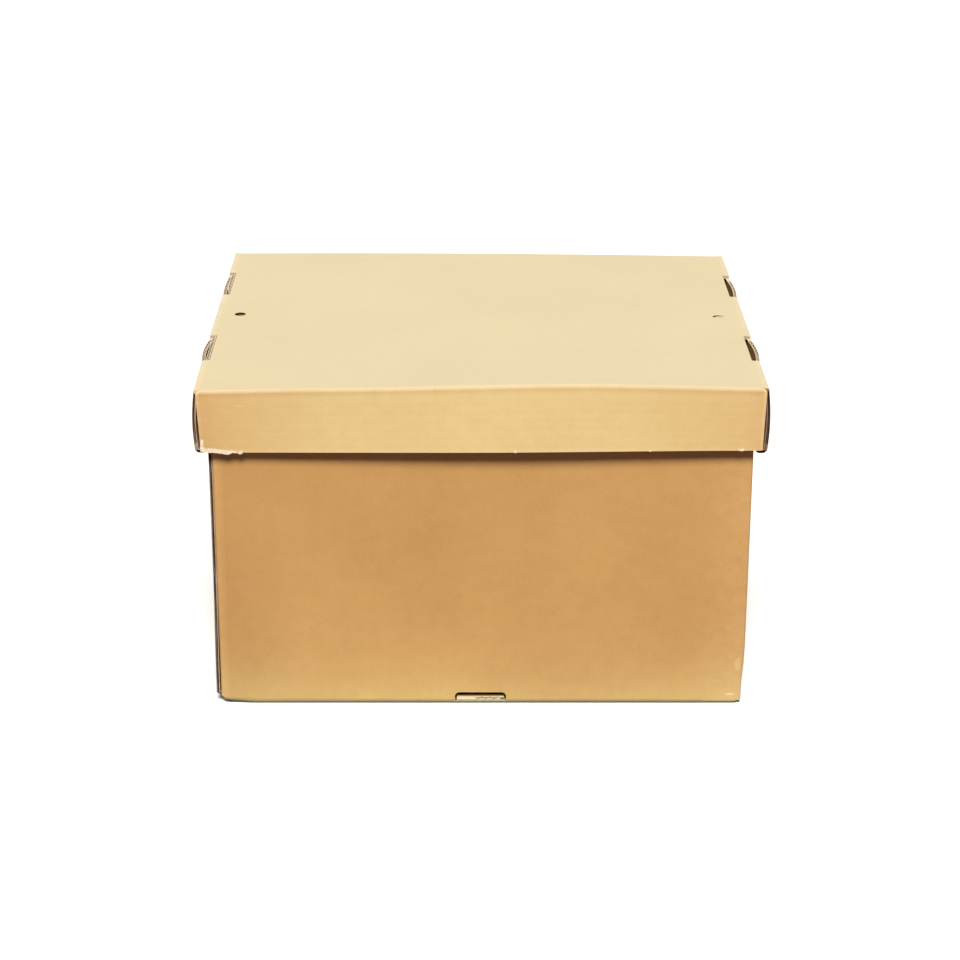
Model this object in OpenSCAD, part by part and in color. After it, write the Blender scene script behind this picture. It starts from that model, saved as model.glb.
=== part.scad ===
// Archive box with a lift-off lid, each folded from one sheet of single-wall corrugated board.
// Millimetres, +Z up, origin in the middle of the underside, front towards -Y.
// Every wall is a strip of board that is walked along its middle line, crease by crease.

/* [Board] */
// Thickness of the board
board = 2.8; // [2:0.1:3.6]
// Radius inside a crease
crease = 0.4; // [0.2:0.1:0.8]
// Air between two layers that lie against each other
layer_gap = 0.15; // [0.1:0.05:0.3]
// Longest straight piece of a bowed wall
facet_run = 6; // [3:0.5:12]

/* [Body] */
// Width over the two end walls
body_w = 413; // [320:1:520]
// Depth over the front and back walls
body_d = 350.5; // [300:0.5:440]
// Height from the underside to the rim
body_h = 260.4; // [215:0.1:360]
// Width of the glued lap behind the left wall's front edge
lap_w = 35; // [20:1:38]
// Slope at each end of the glued lap
lap_slope = 8; // [2:1:16]
// How far the left wall's raw front edge stands back from the front face
lap_setback = 0.6; // [0.2:0.1:2]

/* [Bottom] */
// Length of the two inner end flaps
end_flap_len = 112; // [60:1:150]
// Width of the tongue on the back flap
tongue_w = 37; // [20:1:60]
// How far the tongue stands out of the front wall
tongue_proud = 0; // [0:0.1:6]
// Distance from the front face to the root of the tongue
tongue_root = 16; // [15:0.5:30]
// Room beside the tongue at each end of its slot
slot_side = 1.6; // [1:0.1:6]
// Height of the slot in the front wall
slot_h = 9.9; // [8:0.1:14]
// Radius of the slot's upper corners
slot_r = 3.5; // [0.5:0.1:5]
// Length of the sloping relief at the bottom left corner of the front wall
relief_left = 17; // [4:0.5:30]
// Length of the sloping relief at the bottom right corner of the front wall
relief_right = 6; // [4:0.5:30]
// Room between a flap's free edge and the wall it faces
flap_gap = 1.5; // [0.5:0.1:6]

/* [Hand holes] */
// Length of each hand hole
hand_w = 90; // [70:1:120]
// Height of each hand hole
hand_h = 30; // [20:1:40]
// Distance from the rim down to a hand hole
hand_drop = 66; // [58:1:80]
// Length of the flap that is rolled over the end wall's rim
roll_flap_len = 112; // [98:1:130]
// Width of the flap that is rolled over the end wall's rim
roll_w = 262; // [150:1:262]

/* [Lid] */
// Height of the front and back skirts
skirt_h = 50; // [40:0.5:55]
// Height of the rolled end walls
end_h = 51.4; // [42:0.1:56]
// Bow of the end walls outwards at half height
bow = 1.4; // [0.5:0.1:4]
// Clearance between the lid's end walls and the body
side_fit = 0.3; // [0.2:0.1:3]
// Clearance between the lid's front and back skirts and the body
front_fit = 4.45; // [1:0.05:12]
// Air between the body's rim and the lid's top panel
rim_gap = 0.3; // [0.1:0.1:1]
// Length of the corner flaps held inside the end walls
corner_flap_len = 90; // [30:1:120]
// Height of the corner flaps
corner_flap_h = 24; // [12:1:26]
// Setback of the end walls' raw edges from the front and back faces
end_setback = 0.6; // [0.2:0.1:2]
// Length of the soft bend from which the inner end walls lean out to the slots
lean_bend = 6; // [3:0.5:12]

/* [Lid slots] */
// Length of each slot beside the end folds
lid_slot = 63.5; // [40:0.5:80]
// Room between a tab and each end of its slot
tab_side = 2; // [0.5:0.1:6]
// Distance from a slot's inner edge to the tab
tab_gap = 0.15; // [0.1:0.05:0.6]
// Distance of the slots' middles in front of the lid's middle
slot_front_y = 81; // [60:1:120]
// Distance of the slots' middles behind the lid's middle
slot_back_y = 91; // [60:1:120]
// Depth of the left tabs' tips below the top face
left_tab_sunk = 0.5; // [0.2:0.1:4]
// Depth of the right tabs' tips, which have slipped out of their slots, below the top panel
right_tab_gap = 0.15; // [0.1:0.05:0.3]
// Radius of the corners of the tabs and their slots
tab_r = 1.2; // [0.3:0.1:1.8]

/* [Punched discs] */
// Diameter of the punched discs in the lid
disc_d = 9; // [6:0.5:14]
// Distance of the discs from the lid's end faces
disc_in = 20; // [16:0.1:60]
// Distance of the discs behind the lid's middle
disc_y = 5.5; // [-10:0.5:10]
// Width of the cut round a disc
disc_cut = 0.35; // [0.2:0.05:0.8]
// Angle that is left uncut on each disc, in degrees
disc_bridge = 70; // [30:5:120]
// Angle that the left disc is pushed in, in degrees
disc_tilt = 16; // [4:1:24]

/* [Hidden] */

body_colour = [0.82, 0.63, 0.41];
lid_colour = [0.93, 0.84, 0.66];
cut_extra = 1;
$fn = 48;

// Middle line of the board in a crease, and the full outer radius of a crease
crease_mid = crease + board / 2;
crease_out = crease + board;

// Largest angle of one straight piece of a curve, in degrees
facet_angle = 15;

// The lid is taken from the body and its clearances
stack = 3 * board + 2 * layer_gap;
lid_w = body_w + 2 * (side_fit + stack);
lid_d = body_d + 2 * (front_fit + board);
lid_top = body_h + rim_gap + board;
skirt_low = lid_top - skirt_h;

// Levels of the undersides of the back flap and of the end flaps
back_level = board + layer_gap;
end_level = 2 * (board + layer_gap);

// Moves along a strip: length of the middle line and turn in degrees, left turns positive
function run(length) = [length, 0];
function curve(length, turn) = [length, turn];
function fold(turn) = [crease_mid * abs(turn) * PI / 180, turn];
function fold_back(turn) = [(board + layer_gap) / 2 * abs(turn) * PI / 180, turn];

// Place and heading [x, y, heading] after a move from a place
function moved(at, length, turn) =
    let (new_heading = at[2] + turn)
    turn == 0
        ? [at[0] + length * cos(at[2]), at[1] + length * sin(at[2]), at[2]]
        : let (radius = length * 180 / (PI * turn))
          [at[0] + radius * (sin(new_heading) - sin(at[2])),
           at[1] - radius * (cos(new_heading) - cos(at[2])),
           new_heading];

// How many straight pieces a move is drawn with
function pieces(move) =
    move[1] == 0 ? 1 : max(ceil(abs(move[1]) / facet_angle), ceil(move[0] / facet_run));

// Place and heading after all moves
function walked(at, moves, i = 0) =
    i == len(moves) ? at : walked(moved(at, moves[i][0], moves[i][1]), moves, i + 1);

// All places along the moves
function stations(at, moves, i = 0) =
    i == len(moves)
        ? [at]
        : let (n = pieces(moves[i]))
          concat([for (k = [0:n - 1]) moved(at, moves[i][0] * k / n, moves[i][1] * k / n)],
                 stations(moved(at, moves[i][0], moves[i][1]), moves, i + 1));

// Point beside a station, to the left when the offset is positive
function beside(at, offset) = [at[0] - offset * sin(at[2]), at[1] + offset * cos(at[2])];

// Outline of the board along the moves
function strip(at, moves) =
    let (line = stations(at, moves), last = len(line) - 1)
    concat([for (k = [0:last]) beside(line[k], board / 2)],
           [for (k = [0:last]) beside(line[last - k], -board / 2)]);

// Extrudes an outline in X and Z along Y, from low to high
module along_y(low, high) {
    translate([0, high, 0]) rotate([90, 0, 0]) linear_extrude(high - low) children();
}

// Extrudes an outline in Y and Z along X, from low to high
module along_x(low, high) {
    translate([low, 0, 0]) rotate([90, 0, 90]) linear_extrude(high - low) children();
}

// Extrudes an outline in X and Y upwards, from low to high
module upwards(low, high) {
    translate([0, 0, low]) linear_extrude(high - low) children();
}

// Draws its children on both ends of the box
module both_ends() {
    children();
    mirror([1, 0, 0]) children();
}

// Rectangle with round corners, from one corner to the opposite one
module rounded(low, high, r) {
    translate([low[0] + r, low[1]]) square([high[0] - low[0] - 2 * r, high[1] - low[1]]);
    translate([low[0], low[1] + r]) square([high[0] - low[0], high[1] - low[1] - 2 * r]);
    for (x = [low[0] + r, high[0] - r], y = [low[1] + r, high[1] - r])
        translate([x, y]) circle(r);
}

// Body: middle lines of the walls
wall_x = body_w / 2 - board / 2;
wall_y = body_d / 2 - board / 2;
lap_x = wall_x - board;
front_low = crease_out;
rim_bend = body_h - board - layer_gap / 2;

// The four walls in plan, from the raw front edge of the left wall round to the front wall
module sleeve() {
    upwards(front_low, body_h)
        polygon(strip([-wall_x, lap_setback - body_d / 2, 90], [
            run(wall_y - crease_mid + body_d / 2 - lap_setback),
            fold(-90),
            run(2 * (wall_x - crease_mid)),
            fold(-90),
            run(2 * (wall_y - crease_mid)),
            fold(-90),
            run(wall_x + lap_x - 2 * crease_mid)]));
}

// The glued lap, folded back from the front wall against the inside of the left wall
module lap() {
    lap_end = crease_out - body_d / 2 + lap_w;
    difference() {
        upwards(front_low, body_h)
            polygon(strip([crease_mid - lap_x, -wall_y, 180], [fold(-90), run(lap_w)]));
        for (z = [front_low, body_h], side = z == front_low ? 1 : -1)
            along_x(-lap_x - board, -lap_x + board)
                polygon([[lap_end - lap_w, z - side * cut_extra], [lap_end - lap_w, z],
                         [lap_end + cut_extra, z + side * lap_slope],
                         [lap_end + cut_extra, z - side * cut_extra]]);
    }
}

// Front flap, the lowest layer, on which the box rests
module front_flap() {
    fold_run = 2 * crease_out;
    start = [-wall_y, front_low, -90];
    creased = [fold(90), run(fold_run)];
    reach = body_d - board - flap_gap - crease_out - fold_run;
    difference() {
        along_x(-body_w / 2 + crease_out, body_w / 2 - crease_out) polygon(strip(start, creased));
        along_y(-body_d / 2 - cut_extra, crease_out + fold_run - body_d / 2 + cut_extra) {
            polygon([[-body_w / 2, -cut_extra], [relief_left - body_w / 2, -cut_extra],
                     [relief_left - body_w / 2, 0], [-body_w / 2, front_low]]);
            polygon([[body_w / 2, -cut_extra], [body_w / 2, front_low],
                     [body_w / 2 - relief_right, 0], [body_w / 2 - relief_right, -cut_extra]]);
        }
    }
    along_x(relief_left - body_w / 2, body_w / 2 - max(relief_right, board + flap_gap))
        polygon(strip(walked(start, creased), [run(reach)]));
}

// Back flap, laid over the front flap, with the tongue that reaches through the front wall
module back_flap() {
    reach = body_d - crease_out - tongue_root;
    start = [wall_y, back_level + crease_out, -90];
    moves = [fold(-90), run(reach)];
    along_x(crease_out - body_w / 2, body_w / 2 - crease_out) polygon(strip(start, moves));
    along_x(-tongue_w / 2, tongue_w / 2)
        polygon(strip(walked(start, moves), [run(tongue_root + tongue_proud)]));
}

// One end flap, the innermost layer
module end_flap_right() {
    along_y(board + flap_gap - body_d / 2, body_d / 2 - board - flap_gap)
        polygon(strip([wall_x, end_level + crease_out, -90], [fold(-90), run(end_flap_len)]));
}

// Flap rolled inwards over the rim of one end wall
module rolled_rim() {
    along_y(-roll_w / 2, roll_w / 2)
        polygon(strip([wall_x, rim_bend, 90], [fold_back(180), run(roll_flap_len)]));
}

// Room cleared at one end: below the end wall's crease, and above the rolled rim
module end_clearance(front) {
    inside = wall_x - board;
    along_y(front, body_d / 2 - crease_out)
        translate([inside, front_low - cut_extra])
            square([2 * board, end_level + cut_extra]);
    along_y(-roll_w / 2, roll_w / 2)
        translate([inside, rim_bend]) square([2 * board, board + cut_extra]);
}

// Room cleared below the back wall's crease
module back_clearance() {
    along_x(crease_out - body_w / 2, body_w / 2 - crease_out)
        translate([wall_y - board, front_low - cut_extra])
            square([2 * board, back_level + cut_extra]);
}

// Hand hole with round ends, through both layers of one end wall
module hand_hole() {
    r = hand_h / 2;
    middle = body_h - hand_drop - r;
    along_x(body_w / 2 - 3 * board, body_w / 2 + cut_extra) {
        translate([r - hand_w / 2, middle - r]) square([hand_w - 2 * r, hand_h]);
        for (y = [r - hand_w / 2, hand_w / 2 - r]) translate([y, middle]) circle(r);
    }
}

// Slot through the front wall, from the front flap up, for the tongue
module tongue_slot() {
    half = tongue_w / 2 + slot_side;
    along_y(-body_d / 2 - cut_extra, crease_out - body_d / 2 + cut_extra)
        intersection() {
            rounded([-half, slot_h - 2 * slot_r - board], [half, slot_h], slot_r);
            translate([-half, board]) square([2 * half, slot_h]);
        }
}

// The body, folded and glued from one sheet
module body() {
    color(body_colour) {
        difference() {
            union() {
                difference() {
                    sleeve();
                    end_clearance(crease_out - body_d / 2);
                    mirror([1, 0, 0]) end_clearance(-body_d / 2);
                    back_clearance();
                }
                lap();
                front_flap();
                both_ends() {
                    end_flap_right();
                    rolled_rim();
                }
            }
            both_ends() hand_hole();
            tongue_slot();
        }
        back_flap();
    }
}

// Lid: middle lines and creases
lid_mid = lid_top - board / 2;
lid_crease_x = lid_w / 2 - crease_out;
lid_crease_y = lid_d / 2 - crease_out;
flap_x = lid_w / 2 - board - layer_gap - board / 2;
inner_x = body_w / 2 + side_fit + board / 2;
inner_end = lid_d / 2 - board - 2 * layer_gap;
outer_end = lid_d / 2 - end_setback;

// Bowed end wall: half of its whole turn, and the length of its middle line
bow_turn = 2 * atan(2 * bow / (end_h - board - 2 * crease_mid));
bow_chord = end_h - board - 2 * crease_mid * (1 - sin(bow_turn));
bow_length = bow_chord * bow_turn * PI / (180 * sin(bow_turn));

// The roll under the end wall, then the inner wall: the left one leans out to its slots
end_start = [lid_crease_x, lid_mid, 0];
outer_moves = [fold(bow_turn - 90), curve(bow_length, -2 * bow_turn)];
roll_start = walked(end_start, concat(outer_moves, [fold(bow_turn - 90)]));
roll_moves = [fold(bow_turn - 90), run(roll_start[0] - inner_x - crease_mid), fold(-90)];
lean = 8.5;
inner_low = roll_start[1] + crease_mid;
upright = corner_flap_h;
shoulder = lid_top - board - crease;
function lean_start(lean) = moved([inner_x, inner_low + upright, 90], lean_bend, -lean);
function inner_moves(lean) =
    [run(upright), curve(lean_bend, -lean),
     run((shoulder - lean_start(lean)[1]) / cos(lean))];
function tab_root(lean) =
    walked(end_start, concat(outer_moves, roll_moves, inner_moves(lean)));

// The slots start beside the tabs and reach through the crease, down to the end wall's raw edge
slot_inner_x = tab_root(lean)[0] - board / 2 / cos(lean) - tab_gap;
slot_low = lid_top - crease_out;

// The tabs and the punched discs follow the slots and the end faces
lid_tab = lid_slot - 2 * tab_side;
disc_x = lid_w / 2 - disc_in;

// One rolled end wall of the lid, with its inner wall at an angle
module lid_end(lean) {
    along_y(-inner_end, inner_end)
        polygon(strip(end_start, concat(outer_moves, roll_moves, inner_moves(lean))));
    for (side = [0, 1])
        mirror([0, side, 0]) along_y(inner_end, outer_end) polygon(strip(end_start, outer_moves));
}

// Tabs of one end wall, with round tips, which stand up to a height
module lid_tabs(lean, tip) {
    root = tab_root(lean);
    for (y = [-slot_front_y, slot_back_y])
        intersection() {
            along_y(y - lid_tab / 2, y + lid_tab / 2)
                polygon(strip(root, [run((tip - root[1]) / cos(lean))]));
            along_x(inner_x - board, lid_w / 2)
                rounded([y - lid_tab / 2, shoulder - 3 * board], [y + lid_tab / 2, tip], tab_r);
        }
}

// Slots of one end, through the top panel and its crease
module lid_slots() {
    for (y = [-slot_front_y, slot_back_y])
        upwards(slot_low, lid_top + cut_extra)
            rounded([slot_inner_x, y - lid_slot / 2], [lid_w / 2 + bow, y + lid_slot / 2], tab_r);
}

// Front or back skirt with its crease and the corner flaps folded in behind the end walls
module skirt() {
    corner_x = flap_x - crease_mid;
    skirt_y = lid_d / 2 - board / 2;
    across = [fold(90), run(2 * corner_x), fold(90)];
    corner = [-flap_x, crease_mid - skirt_y, -90];
    along_x(layer_gap - lid_crease_x, lid_crease_x - layer_gap)
        polygon(strip([-lid_crease_y, lid_mid, 180], [fold(90)]));
    upwards(skirt_low + corner_flap_h, lid_top - crease_out) polygon(strip(corner, across));
    upwards(skirt_low, skirt_low + corner_flap_h)
        polygon(strip([-flap_x, crease_mid - skirt_y + corner_flap_len, -90],
                      concat([run(corner_flap_len)], across, [run(corner_flap_len)])));
}

// Ring cut round a disc that still hangs on its bridge, which lies towards +Y
module disc_ring() {
    translate([0, 0, lid_top - board - cut_extra])
        rotate([0, 0, 90 + disc_bridge / 2])
            rotate_extrude(angle = 360 - disc_bridge)
                translate([disc_d / 2 - disc_cut, 0]) square([disc_cut, board + 2 * cut_extra]);
}

// Hole left by the disc that is pushed in
module disc_hole() {
    translate([0, 0, lid_top - board - cut_extra])
        cylinder(d = disc_d, h = board + 2 * cut_extra);
}

// The disc that is pushed in, tilted about its bridge
module pushed_disc() {
    translate([0, disc_d / 2, lid_top])
        rotate([disc_tilt, 0, 0])
            translate([0, disc_cut - disc_d / 2, -board])
                cylinder(d = disc_d - 2 * disc_cut, h = board);
}

// The lid, folded from one sheet
module lid() {
    color(lid_colour) {
        difference() {
            union() {
                translate([-lid_crease_x, -lid_crease_y, lid_top - board])
                    cube([2 * lid_crease_x, 2 * lid_crease_y, board]);
                lid_end(0);
                mirror([1, 0, 0]) lid_end(lean);
                skirt();
                mirror([0, 1, 0]) skirt();
            }
            both_ends() lid_slots();
            translate([-disc_x, disc_y, 0]) disc_hole();
            translate([disc_x, disc_y, 0]) disc_ring();
        }
        lid_tabs(0, lid_top - board - right_tab_gap);
        mirror([1, 0, 0]) lid_tabs(lean, lid_top - left_tab_sunk);
        translate([-disc_x, disc_y, 0]) pushed_disc();
    }
}

body();
lid();
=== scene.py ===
"""Dresses a closed archive box: a folded board body under a lift-off lid, on a pale floor."""
import logging
import math
from dataclasses import dataclass, field
from enum import Enum
from typing import Any, Callable

import bmesh
import bpy
import numpy as np
from mathutils import Matrix, Vector


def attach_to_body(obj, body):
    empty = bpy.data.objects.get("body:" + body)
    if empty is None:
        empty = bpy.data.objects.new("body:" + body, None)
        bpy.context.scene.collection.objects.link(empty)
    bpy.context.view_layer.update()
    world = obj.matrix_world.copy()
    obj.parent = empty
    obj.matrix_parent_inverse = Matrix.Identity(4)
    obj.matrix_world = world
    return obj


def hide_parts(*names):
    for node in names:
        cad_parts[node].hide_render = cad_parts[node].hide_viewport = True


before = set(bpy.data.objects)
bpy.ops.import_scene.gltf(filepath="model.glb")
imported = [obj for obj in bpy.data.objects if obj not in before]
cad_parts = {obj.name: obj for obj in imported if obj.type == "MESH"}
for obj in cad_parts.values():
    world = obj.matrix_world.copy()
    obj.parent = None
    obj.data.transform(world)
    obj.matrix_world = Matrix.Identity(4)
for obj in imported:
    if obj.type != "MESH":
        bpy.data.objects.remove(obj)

Array = np.ndarray
Place = Callable[[Array, Array, Array], Array]
Pair = tuple[float, float]
Triple = tuple[float, float, float]
Socket = bpy.types.NodeSocket
Groups = dict[str, bpy.types.NodeTree]
Materials = list[bpy.types.Material]

# FAR lies beyond every sheet. NEAR and TINY are tolerances, and LEAST keeps a divisor above 0.
MM = 0.001
FAR = 1e4
NEAR = 1e-3
TINY = 1e-6
LEAST = 1e-9
WELD_METRES = 2e-6
DROOP = 1.6
MAX_SMOOTH_ANGLE = 32.0
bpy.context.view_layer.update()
log = logging.getLogger("archive_box")


class Flutes(Enum):
    """Direction of the corrugations in a patch of the flat blank."""

    ALONG_U = "u"
    ALONG_V = "v"


class Skin(Enum):
    """Surfaces of the board, as places in a sheet's list of materials."""

    OUTER = 0
    INNER = 1
    CUT = 2
    FLUTE = 3
    HOLLOW = 4
    SLOPE = 5


@dataclass(frozen=True)
class Slot:
    """A slot beside an end fold: its two ends, the wall's bulge there and the tab in it."""

    low: float
    high: float
    bulge: float
    tab: Pair | None = None


@dataclass(frozen=True)
class Board:
    """Single-wall corrugated board, in millimetres."""

    thick: float = 2.8
    crease: float = 0.4
    layer_gap: float = 0.15
    liner: float = 0.44
    medium: float = 0.42
    pitch: float = 6.35
    hollow: float = 4.5
    ribbon_gap: float = 0.15
    long_waves: Pair = (118.0, 17.0)

    @property
    def half(self) -> float:
        """Distance from the middle line to either face."""
        return self.thick / 2

    @property
    def mid(self) -> float:
        """Radius of the middle line in a crease."""
        return self.crease + self.half

    @property
    def rolled(self) -> float:
        """Radius of the middle line where the board is folded flat on itself."""
        return (self.thick + self.layer_gap) / 2

    def fold(self, turn: float) -> Pair:
        """A crease of a turn in degrees."""
        return self.mid * math.radians(abs(turn)), turn


BOARD = Board()


def smooth(x: Array) -> Array:
    """Smooth step, 3x^2 - 2x^3, of x held between 0 and 1."""
    x = np.clip(x, 0.0, 1.0)
    return x * x * (3.0 - 2.0 * x)


def ramp(x: Array, start: float, end: float) -> Array:
    """Smooth step that is 0 at a start and 1 at an end, which may lie on either side of it."""
    return smooth((x - start) / (end - start))


def hump(x: Array, low: float, high: float) -> Array:
    """One raised half wave, sin^2, that starts at low, ends at high and is 0 elsewhere."""
    return np.sin(np.pi * np.clip((x - low) / (high - low), 0.0, 1.0)) ** 2


def droop(x: Array, y: Array, z: Array) -> Array:
    """How far the box's rim and lid have sunk at the front left corner."""
    return DROOP * ramp(x, -130.0, -215.0) * ramp(y, -110.0, -185.0) * ramp(z, 216.0, 261.0)


def lines_between(stops: list[float], step: float) -> Array:
    """Sorted positions that hold every stop and leave no space wider than a step.

    Args:
        stops: Positions that must be among the lines, in any order.
        step: Widest space between two lines.

    Returns:
        The positions, each at least a hundredth of a millimetre from the next.
    """
    ends = np.unique(np.round(np.asarray(stops, float), 4))
    ends = ends[np.concatenate([[True], np.diff(ends) > 0.01])]
    parts = np.maximum(np.ceil(np.diff(ends) / step - TINY).astype(int), 1)
    pieces = [np.linspace(a, b, n, endpoint=False) for a, b, n in zip(ends[:-1], ends[1:], parts)]
    return np.concatenate(pieces + [ends[-1:]])


def fan(middle: float, radius: float, count: int = 13) -> Array:
    """Lines that meet a circle at equal angles, middle + radius * tan(t), t up to 45 degrees."""
    return middle + radius * np.tan(np.linspace(-math.pi / 4, math.pi / 4, count))


def bar_faces(starts: list[int], count: int) -> Array:
    """Sides and caps of a bar, from the first point of each edge along it and their count."""
    step = np.arange(count - 1)
    sides = [
        np.stack([a + step, b + step, b + step + 1, a + step + 1], -1)
        for a, b in zip(starts, starts[1:] + starts[:1])
    ]
    return np.concatenate([*sides, [[a + count - 1 for a in starts], starts[::-1]]])


def shifted(place: Place, axis: int, shift: Callable[[Array, Array], Array]) -> Place:
    """Adds a shift along one axis, worked out from u and v, to a fold."""

    def moved(u: Array, v: Array, w: Array) -> Array:
        points = place(u, v, w)
        points[..., axis] += shift(u, v)
        return points

    return moved


def add_object(name: str, mesh: bpy.types.Mesh) -> bpy.types.Object:
    """Adds an object with a mesh to the scene, at the origin."""
    thing = bpy.data.objects.new(name, mesh)
    bpy.context.scene.collection.objects.link(thing)
    return thing


class Path:
    """Middle line of a strip of board: straight runs and arcs laid end to end."""

    def __init__(self, start: Triple, moves: list[Pair]) -> None:
        """Adds up the places and headings at the end of each move.

        Args:
            start: First place and heading, in millimetres and degrees.
            moves: Length and turn in degrees of each move, left turns positive.
        """
        lengths = np.array([move[0] for move in moves])
        turns = np.radians([move[1] for move in moves])
        self.begins = np.concatenate([[0.0], np.cumsum(lengths)])
        self.turns = turns
        self.rates = turns / lengths
        self.headings = math.radians(start[2]) + np.concatenate([[0.0], np.cumsum(turns)])
        half = self.headings[:-1] + turns / 2
        chords = lengths * np.sinc(turns / (2 * np.pi))
        self.x = start[0] + np.concatenate([[0.0], np.cumsum(chords * np.cos(half))])
        self.y = start[1] + np.concatenate([[0.0], np.cumsum(chords * np.sin(half))])

    @property
    def length(self) -> float:
        """Whole length of the middle line."""
        return float(self.begins[-1])

    def _move(self, s: Array) -> Array:
        """Number of the move that a length along the line falls in."""
        return np.clip(np.searchsorted(self.begins, s, side="right") - 1, 0, len(self.rates) - 1)

    def at(self, s: Array) -> tuple[Array, Array, Array]:
        """Place and heading at a length along the line.

        An arc's chord is s times sin(t/2)/(t/2), at half of its turn t.
        """
        move = self._move(s)
        along = s - self.begins[move]
        turned = self.rates[move] * along
        chord = along * np.sinc(turned / (2 * np.pi))
        half = self.headings[move] + turned / 2
        x = self.x[move] + chord * np.cos(half)
        y = self.y[move] + chord * np.sin(half)
        return x, y, self.headings[move] + turned

    def sharpened(self, s: Array, offset: Array, sharp: float) -> Array:
        """Offset that draws the outside of each right-angled crease sharper.

        The outer radius grows by (sin^n t + cos^n t)^(-1/n) at a turn t, with n over 2.
        """
        move = self._move(s)
        rate, turn = self.rates[move], np.abs(self.turns[move])
        turned = np.abs(rate) * (s - self.begins[move])
        creased = (np.abs(turn - math.pi / 2) < 0.15) & (offset * rate < 0)
        radius = 1.0 / np.maximum(np.abs(rate), LEAST)
        n = 2.0 + sharp * np.clip(np.abs(offset) / BOARD.half, 0.0, 1.0)
        grown = (np.abs(np.sin(turned)) ** n + np.abs(np.cos(turned)) ** n) ** (-1.0 / n)
        reach = (radius + np.abs(offset)) * grown - radius
        return np.where(creased, np.sign(offset) * reach, offset)

    def beside(self, s: Array, offset: Array) -> tuple[Array, Array]:
        """Point at an offset to the left of the line."""
        x, y, heading = self.at(s)
        return x - offset * np.sin(heading), y + offset * np.cos(heading)

    def stops(self, arc: float = 15.0) -> list[float]:
        """Ends of all moves, and places that cut each arc into pieces of at most arc degrees."""
        parts = np.maximum(np.ceil(np.abs(np.degrees(self.turns)) / arc).astype(int), 1)
        spans = zip(self.begins[:-1], self.begins[1:], parts)
        return [float(x) for a, b, n in spans for x in np.linspace(a, b, n + 1)]


class Patch:
    """One part of the flat blank, cut into cells by lines across it."""

    def __init__(self, u: Array, v: Array, place: Place, flutes: Flutes) -> None:
        """Starts with every cell kept.

        Args:
            u: Lines across the first direction, in millimetres on the blank.
            v: Lines across the second direction.
            place: Folds points (u, v, w) of the blank into space, w from the middle line outwards.
            flutes: Direction of the corrugations.
        """
        self.u, self.v, self.place, self.flutes = u, v, place, flutes
        self.kept = np.ones((len(u) - 1, len(v) - 1), bool)
        self.at_u, self.at_v = np.meshgrid(u, v, indexing="ij")
        self.seams: list[Triple] = []
        self.wear_and_painted_light: list[tuple[int, float, float, float]] = []
        self.crushed: list[tuple[Pair, Pair]] = []

    def _cells(self, low: Pair, high: Pair) -> Array:
        """Cells whose middles lie in a rectangle."""
        mid_u = (self.u[:-1] + self.u[1:]) / 2
        mid_v = (self.v[:-1] + self.v[1:]) / 2
        in_u = (mid_u > low[0]) & (mid_u < high[0])
        in_v = (mid_v > low[1]) & (mid_v < high[1])
        return in_u[:, None] & in_v[None, :]

    def cut(self, low: Pair, high: Pair, radius: float = 0.0) -> None:
        """Takes a rectangle out, with round corners if a radius is given."""
        self.kept &= ~self._cells(low, high)
        if radius > 0.0:
            self.round(low, high, radius)

    def give(self, low: Pair, high: Pair) -> None:
        """Puts a rectangle of cells back."""
        self.kept |= self._cells(low, high)

    def round(self, low: Pair, high: Pair, radius: float) -> None:
        """Rounds a rectangle's corners by moving the lattice.

        In each corner's square of the radius, a point p from the arc's centre goes to
        p * max(|p_u|, |p_v|) / |p|, which turns the square into a quarter disc.
        """
        for u, side_u in ((low[0] + radius, -1), (high[0] - radius, 1)):
            for v, side_v in ((low[1] + radius, -1), (high[1] - radius, 1)):
                du, dv = self.at_u - u, self.at_v - v
                a, b = du * side_u, dv * side_v
                inside = (a > TINY) & (b > TINY) & (a < radius + NEAR) & (b < radius + NEAR)
                scale = np.where(inside, np.maximum(a, b) / np.maximum(np.hypot(a, b), LEAST), 1.0)
                self.at_u = u + du * scale
                self.at_v = v + dv * scale

    def lines_in(self, low: float, high: float) -> Array:
        """The patch's lines along u from low to high, for a patch that is joined on."""
        return self.u[(self.u > low - NEAR) & (self.u < high + NEAR)]

    def seam(self, v: float, low: float, high: float) -> None:
        """Notes a stretch of one line where another patch is joined on."""
        self.seams.append((v, low, high))

    def is_crushed(self, u: Array, v: Array) -> Array:
        """Whether points lie in a rectangle whose cut edges have been pressed shut."""
        shut = np.zeros(u.shape, bool)
        for low, high in self.crushed:
            shut |= (u > low[0]) & (u < high[0]) & (v > low[1]) & (v < high[1])
        return shut

    def rub_and_painted_light(self, u: Array, v: Array) -> Array:
        """Wear and painted light beside each line, amount * exp(-(distance / width)^2): positive for pale
        rubs and painted highlights, negative for painted shade.
        """
        worn_and_painted_light = np.zeros_like(u)
        for axis, position, width, amount in self.wear_and_painted_light:
            share = amount * np.exp(-(((v if axis else u) - position) / width) ** 2)
            worn_and_painted_light = np.where(np.abs(share) > np.abs(worn_and_painted_light), share, worn_and_painted_light)
        return worn_and_painted_light


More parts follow.
